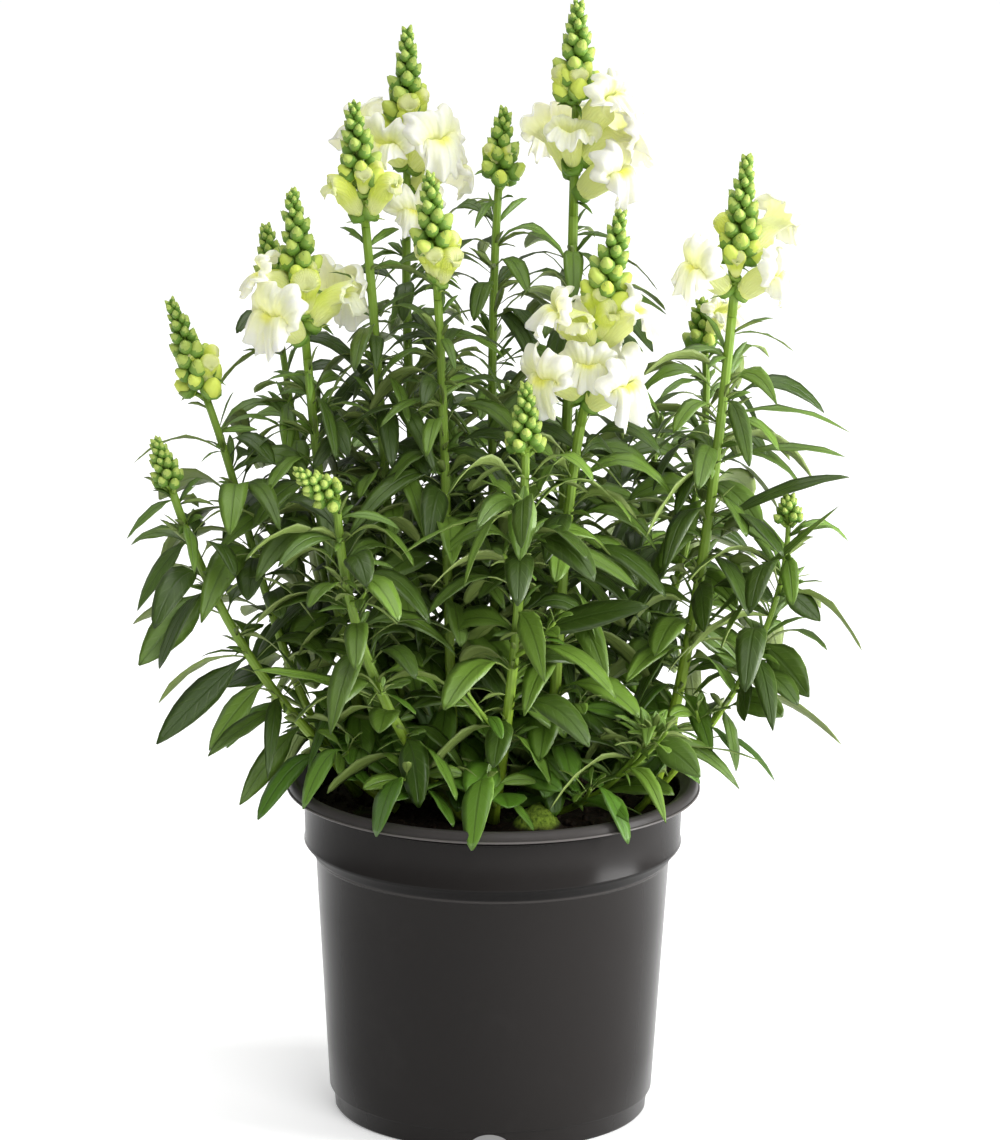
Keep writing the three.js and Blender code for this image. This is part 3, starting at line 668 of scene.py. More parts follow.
# The lips from the top of the mouth round to its bottom, in millimetres. Each row runs in steps
# from the throat to the edge: how far out, how far ahead, how far raised.
LIP_BEARINGS = np.array([0, 22, 48, 76, 100, 116, 135, 160, 180])
OPEN_LIPS = lips(5.6, [
    [(5, 4, -6), (5.5, 8, -7), (8, 11.5, -3), (8.5, 11.5, -1), (9.5, 8.5, 0)],
    [(5.5, 4, -5), (6.5, 8.5, -6), (9.5, 12.5, -2), (12.6, 12, 0), (14, 7.5, 0)],
    [(6, 4, -3.5), (7.4, 7.5, -4.5), (11, 12, -1), (14.6, 11.5, 0), (16.2, 6, 0)],
    [(6.2, 3, -1.5), (7.6, 5.5, -2), (10.6, 9.5, 0), (14, 9.5, 0), (15, 5, 0)],
    [(6, 2, 2), (7.4, 5, 3.5), (8.6, 8, 3), (9, 8, 0.5), (9.4, 6.5, 0)],
    [(5.8, 3, 5), (7.4, 8.5, 8.5), (9.4, 11.5, 6), (9.6, 8.5, 0), (11.4, 8, 0)],
    [(5.8, 3, 6.5), (7.6, 10.5, 12), (10.4, 14, 8.5), (11, 8.5, 0), (15, 9.5, 0)],
    [(5.8, 3, 7), (7, 10.5, 14), (10.4, 14.5, 9), (11.6, 8.5, 0), (16, 8.5, 0)],
    [(5.8, 3, 7), (6.8, 10, 13.5), (10.4, 14, 9), (11.5, 8, 0), (14.5, 7.5, 0)],
])
HALF_LIPS = lips(5.4, [
    [(6.6, 3, 0), (7.4, 7, 0), (6.8, 11, -2.5), (5.4, 12.8, -6.5), (6.2, 11.8, -8)],
    [(6.8, 3, 0), (7.8, 7, 0), (7.2, 11, -2.5), (6.6, 13, -6), (9.5, 12.4, -6.5)],
    [(6.8, 3, 0), (7.8, 7, 0), (7.6, 10.5, -2), (7.8, 12.2, -4.5), (12, 11, -4.5)],
    [(6.6, 2.5, 0), (7.5, 6, 0), (7.4, 9, -1.5), (7.4, 10.5, -3), (10.5, 9, -2)],
    [(6.2, 2, 0), (6.9, 4.5, 0), (6.8, 6.5, -0.5), (6.8, 7.5, -0.5), (8, 7.5, 0)],
    [(5.8, 2, 1), (6.4, 4.5, 3), (6.8, 7.5, 5.5), (7, 8.5, 3), (9, 8.5, 1)],
    [(5.6, 2, 1.5), (6.2, 4.5, 4), (6.6, 8.5, 8), (7.2, 10, 4.5), (10.5, 10, 1)],
    [(5.6, 2, 1.5), (6, 4.5, 4.5), (6.2, 8.5, 9), (7, 10, 5), (9, 10, 1)],
    [(5.6, 2, 1.5), (6, 4.5, 4.5), (6.2, 8.5, 9), (7, 10, 5), (9, 9.5, 1)],
])
SHUT_LIPS = lips(5.4, [
    [(7, 3, 0), (7.7, 7.5, 0), (6.8, 12, -2), (4, 13.6, -7)],
    [(7, 3, 0), (7.7, 7.5, 0), (6.8, 11.8, -2), (4, 13.4, -7)],
    [(6.9, 3, 0), (7.6, 7, 0), (6.8, 11, -2), (4.2, 12.8, -6.5)],
    [(6.8, 2.8, 0), (7.4, 6.5, 0), (6.8, 9.8, -1.5), (4.6, 11.6, -5.5)],
    [(6.6, 2.5, 0), (7.2, 5.5, 0), (6.8, 8, -1), (5, 9.4, -4)],
    [(6, 2, 0), (6.2, 4, 0), (6, 5.8, -0.5), (5.2, 7.4, -0.8)],
    [(5.8, 2, 0), (5.8, 4, 0), (5.8, 5.8, 0), (5.4, 7.6, -0.4)],
    [(5.8, 2, 0), (5.8, 4, 0), (5.8, 5.8, 0), (5.6, 7.6, -0.2)],
    [(5.8, 2, 0), (5.8, 4, 0), (5.8, 5.8, 0), (5.6, 7.6, -0.2)],
], inner_edge=(0.2, 2, -5))
LIP_STEPS = 6
LOWER_LIP = (95, 125)
LOWER_LIP_LENGTH = 0.78
HINGE_OUT, HINGE_AHEAD = 5.6, 3
TUBE_LENGTH = (12, 10.5)
TUBE_RADII = [(0, 1.8), (0.06, 3.0), (0.2, 4.0), (0.45, 4.6), (0.7, 5.0), (0.88, 5.25), (1, 5.4)]
TUBE_END = TUBE_RADII[-1][1]
MOUTH = 0.36
# height, waves and phase of the unevenness along the edge
RUFFLES = [(0.7, 7, 1.7), (0.8, 13, 2.9), (0.5, 21, 4.3)]


def lip_steps(rows, off):
    """The steps at angles off the top of the mouth, eased from one row to the next."""
    row = np.clip(np.searchsorted(LIP_BEARINGS, off, side="right") - 1, 0, len(LIP_BEARINGS) - 2)
    share = smooth(off, LIP_BEARINGS[row], LIP_BEARINGS[row + 1])[:, None, None]
    return mix(rows[row], rows[row + 1], share)


def corolla(place, turn, height, opened, seed, ruffle):
    """Points of a flower at degrees round its mouth and shares of the way from base to edge."""
    size = place.size
    face = unit(mix(place.aim, place.face, mix(0.25, 1, smooth(opened, 0, 0.9))))
    neck = place.seat + place.aim * mix(*TUBE_LENGTH, opened) * size
    mouth = neck + face * mix(1.5, 4, opened) * size
    way = np.clip(height / MOUTH, 0, 1)
    path = [place.seat + place.aim, neck, mouth]
    centre, axis = bezier(path, way), direction(path, way)
    side = unit(np.cross(UP, place.out))
    side = np.broadcast_to(side, axis.shape)
    up = np.cross(axis, side)
    turned = np.radians(turn)
    off = np.abs((turn - 90 + 180) % 360 - 180)
    low = smooth(off, *LOWER_LIP)
    reach = np.clip((height - MOUTH) / (1 - MOUTH), 0, 1)
    early, late = (SHUT_LIPS, HALF_LIPS) if opened < 0.5 else (HALF_LIPS, OPEN_LIPS)
    steps = mix(lip_steps(early, off), lip_steps(late, off), (opened * 2) % 1 if opened < 1 else 1)
    out, ahead, raised = bezier([steps[:, k] for k in range(LIP_STEPS)], reach).T
    # each flower turns its lips back a little differently and no edge is even
    chance = np.array([vary(seed * 5 + k) for k in range(8)])
    left = np.where(np.cos(turned) < 0, 0, 1)
    lower_back = mix(-0.35, 0.45, chance[0]) + mix(-0.2, 0.2, chance[1 + left])
    upper_back = mix(-0.1, 0.75, chance[3 + left])
    back = np.where(low > 0.5, lower_back, upper_back) * reach * opened
    out, ahead = out - HINGE_OUT, ahead - HINGE_AHEAD
    out, ahead = (
        out * np.cos(back) + ahead * np.sin(back),
        ahead * np.cos(back) - out * np.sin(back) + HINGE_AHEAD,
    )
    out = out * mix(1, mix(0.9, 1.12, chance[5 + left]), opened)
    out = HINGE_OUT + out * mix(1, LOWER_LIP_LENGTH, low * reach * opened)
    wave = sum(rise * np.sin(turned * waves + seed * phase) for rise, waves, phase in RUFFLES)
    frill = ruffle * min(opened * 1.6, 1)
    edge = frill * smooth(reach, 0.5, 1)
    ahead = ahead + edge * wave + 1.5 * frill * reach * np.sin(turned * 4 + seed * 2.3)
    out = out + edge * np.sin(turned * 11 + seed * 3.1)
    radius = np.interp(way, *zip(*TUBE_RADII))
    radius = radius * mix(1, HINGE_OUT / TUBE_END, smooth(opened, 0.5, 1))
    radius = np.where(reach > 0, out, radius) * size
    outward = side * np.cos(turned)[:, None] + up * np.sin(turned)[:, None]
    points = centre + outward * radius[:, None]
    lifted = np.where(reach > 0, raised, 0) * size
    forward = np.where(reach > 0, ahead, 0) * size
    return points + up * lifted[:, None] + face * forward[:, None]


def lay_flower(growth, blank, place, opened, seed, finish, ruffle=1.0, thickness=0.35):
    """Draws a sleeve out into a flower; its inner wall follows inside the outer one."""
    x, y, height = blank.points.T
    turn = np.degrees(np.arctan2(y, x))
    ring = np.hypot(x, y)
    height = np.clip(height, 0, 1)

    def surface(turn, height):
        return corolla(place, turn, np.clip(height, 0, 1), opened, seed, ruffle)

    points = surface(turn, height)
    along = surface(turn, height + 0.01) - surface(turn, height - 0.01)
    beside = surface(turn + 1, height) - surface(turn - 1, height)
    inward = np.cross(along, beside)
    inward /= np.maximum(np.linalg.norm(inward, axis=1, keepdims=True), 1e-6)
    centred = ring < 0.5
    depth = np.clip((1 - ring) / SLEEVE_WALL, 0, 1) * ~centred * thickness
    points = points + inward * depth[:, None]
    points[centred] = place.seat + np.outer(1 + height[centred] * thickness, place.aim)
    growth.lay(blank, points, finish, vary(seed + 0.5), 1 - opened)


# ---- finishes --------------------------------------------------------------


class Value:
    """A number in a finish; Python's operators add the Math nodes."""

    def __init__(self, finish, socket):
        self.finish, self.socket = finish, socket

    def _math(self, operation, *values):
        sockets = dict(enumerate(values))
        return self.finish.node("ShaderNodeMath", {"operation": operation}, sockets)

    def __add__(self, other):
        return self._math("ADD", self, other)

    def __sub__(self, other):
        return self._math("SUBTRACT", self, other)

    def __rsub__(self, other):
        return self._math("SUBTRACT", other, self)

    def __mul__(self, other):
        return self._math("MULTIPLY", self, other)

    def __abs__(self):
        return self._math("ABSOLUTE", self)

    __radd__, __rmul__ = __add__, __mul__

    def sine(self):
        return self._math("SINE", self)

    def above(self, limit):
        """1 where the number is greater than a limit, 0 elsewhere."""
        return self._math("GREATER_THAN", self, limit)


class Finish:
    """A material; its Principled shader's constant sockets are given by name."""

    def __init__(self, name, constants):
        self.material = bpy.data.materials.new(name)
        self.material.use_nodes = True
        self.tree = self.material.node_tree
        self.shader = self.tree.nodes["Principled BSDF"]
        for socket, value in constants.items():
            self.shader.inputs[socket].default_value = value

    def node(self, kind, settings=None, sockets=None, output=0):
        """Adds a node, sets it up, feeds its sockets and gives one of its outputs."""
        node = self.tree.nodes.new(kind)
        for name, value in (settings or {}).items():
            setattr(node, name, value)
        for name, value in (sockets or {}).items():
            self.feed(node.inputs[name], value)
        return Value(self, node.outputs[output])

    def feed(self, socket, value):
        if isinstance(value, Value):
            self.tree.links.new(value.socket, socket)
        elif socket.type == "RGBA":
            socket.default_value = (*value, 1)
        else:
            socket.default_value = value

    def shade(self, **sockets):
        """Feeds sockets of the shader that change over the surface."""
        for name, value in sockets.items():
            self.feed(self.shader.inputs[name.replace("_", " ")], value)
        return self.material

    def blend(self, share, first, second):
        """From the first colour to the second."""
        return self.node("ShaderNodeMix", {"data_type": "RGBA"}, {0: share, 6: first, 7: second}, 2)

    def coats(self, colour, *coats):
        """A colour under coats, each given as its share and its colour."""
        for share, cover in coats:
            colour = self.blend(share, colour, cover)
        return colour

    def ease(self, value, start, end):
        """From 0 where the value is at start to 1 where it is at end."""
        return self.node(
            "ShaderNodeMapRange", {"interpolation_type": "SMOOTHSTEP"},
            {"Value": value, "From Min": start, "From Max": end},
        )

    def attribute(self, name):
        return self.node("ShaderNodeAttribute", {"attribute_name": name}, output=2)

    def place(self):
        """The place on the object, in metres."""
        return self.node("ShaderNodeTexCoord", output=3)

    def near(self, value, middle, none, full):
        """From 0 where the value is that far from the middle to 1 where it is that close."""
        return self.ease(abs(value - middle), none, full)

    def uv(self):
        """The two face coordinates."""
        separate = self.node("ShaderNodeSeparateXYZ", {}, {0: self.node("ShaderNodeUVMap")})
        return separate, Value(self, separate.socket.node.outputs[1])

    def clouds(self, scale, detail=2.0, roughness=0.5):
        sockets = {"Vector": self.place(), "Scale": scale, "Detail": detail, "Roughness": roughness}
        return self.node("ShaderNodeTexNoise", {}, sockets)

    def bump(self, height, strength, distance):
        sockets = {"Strength": strength, "Distance": distance, "Height": height}
        return self.node("ShaderNodeBump", {}, sockets)


def pot_plastic(pot):
    """Satin black moulded plastic with random dust; the rim band is lightened as wear and painted
    sheen, painted highlights run along the rim's bead and the collar's crease, and painted shade
    darkens the slant under the collar.
    """
    finish = Finish("satin_pot_plastic", {"Specular IOR Level": 0.09})
    grain = finish.clouds(900, 3)
    smears = finish.clouds(26, 5, 0.6)
    height = finish.node("ShaderNodeSeparateXYZ", {}, {0: finish.place()}, 2)
    # the rim band is lightened in the dust colour, partly as wear and partly as painted sheen
    worn_or_lit = finish.ease(height, pot.height * 0.955, pot.height * 0.985)
    # painted highlight: a thin light line along the rim's bead, in the dust colour
    bead_highlight = finish.near(height, pot.height - pot.lip + 0.6 * MM, 0.7 * MM, 0.3 * MM)
    # painted shade: the slant under the collar is darkened towards black
    shaded_slant = finish.near(height, pot.collar_base - 2.4 * MM, 3.6 * MM, 2.2 * MM)
    # painted highlight: a thin light line where the collar's slant meets the body, varied with
    # random dust
    crease_highlight = finish.near(height, pot.collar_base - 6.1 * MM, 0.75 * MM, 0.3 * MM)
    # random dust mixed with the painted highlights on the bead and the crease and the painted sheen
    # on the rim
    dusty_or_lit = worn_or_lit * (0.06 + smears * 0.22) + finish.ease(smears, 0.55, 0.85) * 0.03 + bead_highlight * 0.55
    dusty_or_lit = dusty_or_lit + crease_highlight * (0.06 + smears * 0.2)
    return finish.shade(
        Base_Color=finish.coats(pot.plastic, (dusty_or_lit, pot.dust_or_highlight), (shaded_slant * 0.6, (0, 0, 0))),
        Roughness=0.17 + smears * 0.1 + worn_or_lit * 0.12 + shaded_slant * 0.2,
        Normal=finish.bump(grain, 0.1, 0.0002),
    )


def peat(soil):
    """Dark moist peat with lighter fibres, faint patches of moss and one mossy clump."""
    finish = Finish("moist_peat", {"Specular IOR Level": 0.25})
    crumbs = finish.clouds(420, 5, 0.65)
    patches = finish.clouds(60, 3)
    moss = finish.ease(finish.clouds(34, 4), 0.62, 0.72)
    fibres = finish.ease(crumbs, 0.35, 0.75)
    away = finish.node(
        "ShaderNodeVectorMath", {"operation": "DISTANCE"}, {0: finish.place(), 1: MOSS_CLUMP}, 1
    )
    tufts = finish.blend(finish.ease(crumbs, 0.3, 0.62), soil.moss, soil.moss_tips)
    clump = 1 - finish.ease(away + patches * 0.004, MOSS_REACH - 3 * MM, MOSS_REACH)
    return finish.shade(
        Base_Color=finish.coats(
            soil.peat, (fibres, soil.fibre), (moss * 0.35, soil.moss), (clump, tufts)
        ),
        Roughness=0.8 + patches * 0.15,
        Normal=finish.bump(crumbs, 0.9, 0.0012),
    )


def leaf_green(leaf):
    """Upper and lower leaf faces with a grooved midrib darkened by painted shade, faint veins and a
    painted highlight along the margin.
    """
    finish = Finish("leaf_green", {"Specular IOR Level": leaf.gloss})
    along, width = finish.uv()
    below = width.above(1.0)
    out = abs((width - below) * 2 - 1)
    tint, age = finish.attribute("tint"), finish.attribute("age")
    midrib = 1 - finish.ease(out, 0.02, 0.13)
    # painted highlight: a thin pale band along the leaf's margin
    margin = finish.ease(out, 0.9, 1.0)
    veins = ((along * 8 - out * 1.6) * math.tau).sine()
    veins = finish.ease(veins, 0.7, 1.0) * (1 - margin) * finish.ease(out, 0.1, 0.3)
    blotch = finish.clouds(90, 3)
    fresh = finish.ease(tint * 0.8 + blotch * 0.3, 0.3, 1.0)
    colour = finish.coats(
        leaf.deep,
        (fresh, leaf.fresh),
        (finish.ease(age, 0.3, 0.05) * 0.6, leaf.low),
        (finish.ease(age, 0.75, 1.1) * 0.75, leaf.young),
        (veins * 0.05, leaf.rib),
        # painted shade: the midrib's groove on the upper face is darkened towards deep green; along
        # the midrib the lower face is also left less pale
        (midrib * 0.4, leaf.deep),
        # painted highlight along the margin, in the rib colour
        (margin * 0.3, leaf.rib),
        (below * (0.7 - midrib * 0.25), leaf.underside),
    )
    side = 1 - below * 2
    relief = midrib * side * -1.2 + veins * side * -0.3 + finish.clouds(500, 2) * 0.4
    return finish.shade(
        Base_Color=colour,
        Roughness=leaf.roughness + blotch * 0.14 + below * 0.16,
        Normal=finish.bump(relief, 0.55, 0.0004),
    )


def stem_green(stem):
    """Fresh green stalk, duller towards the soil, with fine lengthwise ribs."""
    finish = Finish("stem_green", {"Specular IOR Level": 0.45})
    _, turn = finish.uv()
    age = finish.attribute("age")
    ribs = (turn * (math.tau * 9)).sine()
    blotch = finish.clouds(140, 3)
    fresh = finish.ease(age + blotch * 0.2, 0.1, 0.75)
    pale = finish.ease(ribs, 0.2, 1.0) * 0.18
    return finish.shade(
        Base_Color=finish.coats(stem.old, (fresh, stem.young), (pale, stem.rib)),
        Roughness=0.42 + blotch * 0.16,
        Normal=finish.bump(ribs, 0.25, 0.0003),
    )


def bud_skin(bud):
    """Closed buds: green while small, yellow-green once they swell, palest at the tip."""
    finish = Finish("bud_skin", {"Specular IOR Level": 0.35})
    turn, height = finish.uv()
    ripe, tint = finish.attribute("age"), finish.attribute("tint")
    creases = (turn * (math.tau * 5)).sine()
    blotch = finish.clouds(260, 3)
    pale = finish.ease(ripe + height * 0.3 + tint * 0.16, 0.2, 1.08)
    dull = finish.ease(blotch, 0.4, 0.8) * 0.2
    return finish.shade(
        Base_Color=finish.coats(bud.small, (pale, bud.swollen), (dull, bud.sepal)),
        Roughness=0.42 + blotch * 0.15,
        Normal=finish.bump(creases * 0.4 + blotch, 0.3, 0.0005),
    )


def sepal_green(bud):
    """Downy sepals and bracts."""
    finish = Finish("sepal_green", {"Specular IOR Level": 0.35})
    tint = finish.attribute("tint")
    _, height = finish.uv()
    blotch = finish.clouds(300, 3)
    fresh = finish.ease(blotch * 0.4 + tint * 0.3 + height * 0.6, 0.45, 1.35)
    return finish.shade(
        Base_Color=finish.blend(fresh, bud.sepal, bud.small),
        Roughness=0.5 + blotch * 0.15,
        Normal=finish.bump(finish.clouds(1500, 2), 0.3, 0.0002),
    )


def petal_skin(petal):
    """Cream petals, yellow-green down the tube and while shut, with a yellow palate and veins; they
    give off a faint painted glow in their own colour.
    """
    finish = Finish(
        "cream_petal",
        {"Specular IOR Level": 0.3, "Subsurface Weight": petal.glow, "Subsurface Scale": 0.003,
         "Subsurface Radius": (1.0, 0.95, 0.6), "Emission Strength": petal.painted_glow},
    )
    turn, height = finish.uv()
    shut = finish.attribute("age")
    blotch = finish.clouds(120, 4)
    veins = (turn * (math.tau * 30) + blotch * 6).sine()
    upper = finish.near(turn, 0.25, 0.28, 0.18)
    spread = height + blotch * 0.25 - finish.attribute("tint") * 0.1
    bulge = finish.near(turn, 0.75, 0.12, 0.03) * finish.near(height, 0.62, 0.12, 0.03)
    hood = finish.coats(
        petal.hood,
        (finish.ease(height, 0.3, 0.1), petal.base),
        (finish.ease(height, 0.6, 0.9) * 0.6, petal.throat),
    )
    colour = finish.coats(
        petal.base,
        (finish.ease(height, 0.05, 0.34), petal.tube),
        (finish.ease(height + blotch * 0.14, 0.4, 0.6), petal.throat),
        (finish.ease(spread, 0.66, 1.02), petal.lip),
        (finish.ease(shut * (0.75 + upper * 0.25), 0.0, 0.75), hood),
        (bulge * (1 - shut) * 0.8, petal.palate),
    )
    return finish.shade(
        Base_Color=colour,
        # painted light: the petals glow faintly in their own colour
        Emission_Color=colour,
        Roughness=0.5 + blotch * 0.15,
        Normal=finish.bump(veins * 0.5 + finish.clouds(500, 3), 0.4, 0.0005),
    )


# ---- settings that a user would change -------------------------------------


def a_length(name, description, millimetres):
    return FloatProperty(
        name=name, description=description, default=millimetres * MM, unit="LENGTH"
    )


def a_colour(name, description, code):
    return FloatVectorProperty(
        name=name, description=description, default=paint(code), size=3, subtype="COLOR",
        min=0, max=1,
    )


def a_share(name, description, default):
    return FloatProperty(
        name=name, description=description, default=default, min=0, max=1, subtype="FACTOR"
    )


def an_amount(name, description, default, least=0):
    return FloatProperty(name=name, description=description, default=default, min=least)


def a_count(name, description, default, least=0):
    return IntProperty(name=name, description=description, default=default, min=least)


class SnapdragonPot(bpy.types.PropertyGroup):
    height: a_length("Height", "Floor to the top of the rim", POT_HEIGHT)
    rim: a_length("Rim radius", "Outside of the rolled rim", RIM_RADIUS)
    lip: a_length("Lip depth", "Height of the rolled rim", 5)
    collar: a_length("Collar radius", "Outside of the collar under the rim", 87)
    collar_base: a_length("Collar base", "Height of the collar's lower edge", 127)
    body_top: a_length("Body top radius", "Outside of the body under the collar", 81.2)
    body_base: a_length("Body base radius", "Outside of the body above the foot", 74.4)
    foot: a_length("Foot radius", "Outside of the recessed foot", 72.1)
    foot_height: a_length("Foot height", "Height of the recessed foot", 9.6)
    wall: a_length("Wall", "Thickness of the moulded wall", 1.5)
    sides: a_count("Sides", "Faces around the pot", 128, 16)
    plastic: a_colour("Plastic", "Colour of the pot", "242221")
    # also the colour of the painted highlights and sheen on the rim, its bead and the collar's
    # crease
    dust_or_highlight: a_colour("Dust", "Colour where the plastic is dusty or worn", "706c6a")


class SnapdragonSoil(bpy.types.PropertyGroup):
    roughness: a_length("Unevenness", "Height of the bumps in the surface", 2.2)
    crumbs: a_count("Crumbs", "Loose crumbs on the surface", 420)
    peat: a_colour("Peat", "Colour of moist peat", "1a130d")
    fibre: a_colour("Fibre", "Colour of dry fibres", "3a2a1c")
    moss: a_colour("Moss", "Colour of moss on the peat", "4a641c")
    moss_tips: a_colour("Moss tips", "Colour of the lit tips of the moss", "92ae3c")


class SnapdragonLeaf(bpy.types.PropertyGroup):
    fill: an_amount("Inner leaves", "Extra leaves inside the bush for each main leaf", 2.6)
    gloss: a_share("Gloss", "Strength of the leaf's reflection", 0.5)
    roughness: a_share("Roughness", "How blurred the leaf's reflection is", 0.34)
    deep: a_colour("Deep green", "Colour of the darkest leaves", "354c12")
    fresh: a_colour("Fresh green", "Colour of the lightest leaves", "6e8f34")
    low: a_colour("Low green", "Colour of the sappy leaves near the soil", "5a8c24")
    young: a_colour("Young green", "Colour of the youngest leaves", "769a40")
    # also the colour of the painted highlight along the leaf's margin
    rib: a_colour("Rib", "Colour beside the midrib and along the margin", "96ad62")
    underside: a_colour("Underside", "Colour of the lower face", "84944e")


class SnapdragonStem(bpy.types.PropertyGroup):
    old: a_colour("Old stem", "Colour near the soil", "8aa826")
    young: a_colour("Young stem", "Colour near the flowers", "76962e")
    rib: a_colour("Stem ribs", "Colour of the fine ribs", "94aa48")


class SnapdragonBud(bpy.types.PropertyGroup):
    small: a_colour("Small buds", "Colour of the youngest buds", "a4b85a")
    swollen: a_colour("Swollen buds", "Colour of the largest closed buds", "d2e05e")
    sepal: a_colour("Sepals", "Colour of sepals and bracts", "62882e")


class SnapdragonPetal(bpy.types.PropertyGroup):
    thickness: a_length("Thickness", "Thickness of a petal", 0.35)
    ruffle: a_share("Ruffle", "How wavy the petals' edges are", 0.62)
    glow: a_share("Glow", "How much light spreads inside the petals", 0.85)
    # painted light: a faint glow given off by the petals, standing in for light through them
    painted_glow: a_share("Light through", "How much light comes through from behind", 0.13)
    base: a_colour("Base", "Colour where the tube leaves the sepals", "dce48c")
    tube: a_colour("Tube", "Colour of the flower's tube", "e4ea94")
    throat: a_colour("Throat", "Colour around the throat", "e2e4a8")
    lip: a_colour("Lips", "Colour of the spread lips", "e0ded0")
    hood: a_colour("Hood", "Colour of a flower that is still shut", "cedc58")
    palate: a_colour("Palate", "Colour of the bulge that shuts the throat", "e4e256")


class SnapdragonStage(bpy.types.PropertyGroup):
    distance: a_length("Distance", "Camera to the front of the plant's axis", 3500)
    lens: an_amount("Lens", "Focal length in millimetres", 250.57, 1)
    floor: a_colour("Floor", "Colour of the floor", "f4f4f4")
    glow: an_amount("Floor glow", "Light given off by the floor", 0.3)
    sky: an_amount("Surround", "Light from all round", 0.16)
    top: an_amount("Top light", "Power of the wide light above", 145)
    key: an_amount("Key light", "Power of the light in front", 40)
    side: an_amount("Side light", "Power of the light on the right", 56)
    edge: an_amount("Edge light", "Power of the light behind on the left", 1.5)


# ---- operators: one for each piece or group of like pieces -----------------


def rings_at(radius, height, steps):
    """Rings of (radius, height) from steps in millimetres off a radius and a height."""
    return [(radius + out * MM, height + up * MM) for out, up in steps]


class SNAPDRAGON_OT_pot(bpy.types.Operator):
    """Turns the nursery pot with its rolled rim, collar and notched foot"""

    bl_idname = "snapdragon.pot"
    bl_label = "Nursery pot"

    NOTCH_BEARINGS = (0, 90, 180, 270)
    NOTCH_RADIUS = 9
    NOTCH_DEPTH = 34
    NOTCH_ARCH = (1.12, 0.86, 1)
    SHARP_ANGLE = 40

    def profile(self, pot):
        """Rings up the outside, over the rim and down the inside."""
        top, rim, collar, wall = pot.height, pot.rim, pot.collar, pot.wall
        under, edge, foot_height = top - pot.lip, pot.collar_base, pot.foot_height
        foot = (
            rings_at(pot.foot, 0, [(-2.2, 0), (-0.9, 0.25), (0, 1.4)])
            + rings_at(pot.foot, foot_height, [(0.35, -1), (0.9, -0.3)])
            + rings_at(pot.body_base, foot_height, [(-0.25, 0), (0, 0.5)])
        )
        body_end = edge - 7.4 * MM
        body = [(mix(pot.body_base, pot.body_top, k / 5), mix(foot_height, body_end, k / 5))
                for k in range(1, 6)]
        collar_step = (
            rings_at(pot.body_top, edge, [
                (0.1, -7.1), (0.55, -6.8), (0.75, -6.4), (0.7, -5.9), (1.1, -5.3), (2.6, -3.3),
            ])
            + rings_at(collar, edge, [
                (-1.6, -1.3), (-0.8, -0.5), (-0.3, 0.3), (-0.35, 1.1), (-0.8, 1.9),
            ])
            + rings_at(collar, under, [
                (-0.1, -3.6), (0.45, -3.2), (0.45, -2.7), (0, -2.3), (0.1, -0.5), (1.2, 0),
            ])
        )
        lip = (
            rings_at(rim, under, [
                (-1.6, 0), (-0.4, 0.1), (0, 0.5), (-0.15, 1), (-0.75, 1.35), (-1, 2.6),
            ])
            + rings_at(rim, top, [
                (-1.5, -1.2), (-2.3, -0.3), (-3.2, 0), (-4.4, -0.1), (-5.2, -0.6), (-6.4, -1.9),
            ])
        )
        inside = (
            rings_at(collar - wall, top, [(0.4, -3.6)])
            + rings_at(collar - wall, under, [(0, -2)])
            + rings_at(collar - wall, edge, [(-0.8, 1)])
            + rings_at(pot.body_top - wall, edge, [(0, -5.5)])
            + rings_at(pot.body_base - wall, foot_height, [(0, 2.6)])
            + rings_at(pot.foot, wall, [(-4, 0)])
        )
        return foot + body + collar_step + lip + inside

    def notch_cutter(self, pot, bearing):
        """An arched bar through the foot at a bearing."""
        start_fresh()
        radius = self.NOTCH_RADIUS * MM
        depth = self.NOTCH_DEPTH * MM
        bpy.ops.mesh.primitive_cylinder_add(vertices=40, radius=radius, depth=depth)
        cutter = bpy.context.object
        cutter.scale = self.NOTCH_ARCH
        cutter.rotation_euler = (math.radians(90), 0, math.radians(bearing))
        out, turn = pot.foot - radius, math.radians(bearing)
        cutter.location = (out * math.sin(turn), -out * math.cos(turn), 0)
        bpy.ops.object.transform_apply()
        return cutter

    def execute(self, context):
        pot = context.scene.snapdragon_pot
        shell = turned_blank(pot.sides, self.profile(pot))
        shell.name = "nursery_pot"
        for bearing in self.NOTCH_BEARINGS:
            cutter = self.notch_cutter(pot, bearing)
            cut = shell.modifiers.new("Notch", "BOOLEAN")
            cut.object, cut.operation, cut.solver = cutter, "DIFFERENCE", "EXACT"
            start_fresh()
            shell.select_set(True)
            context.view_layer.objects.active = shell
            bpy.ops.object.modifier_apply(modifier=cut.name)
            bpy.data.objects.remove(cutter)
        bpy.ops.object.shade_smooth_by_angle(angle=math.radians(self.SHARP_ANGLE))
        coat(shell, pot_plastic(pot))
        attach(shell, "root")
        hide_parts("pot")
        return {"FINISHED"}


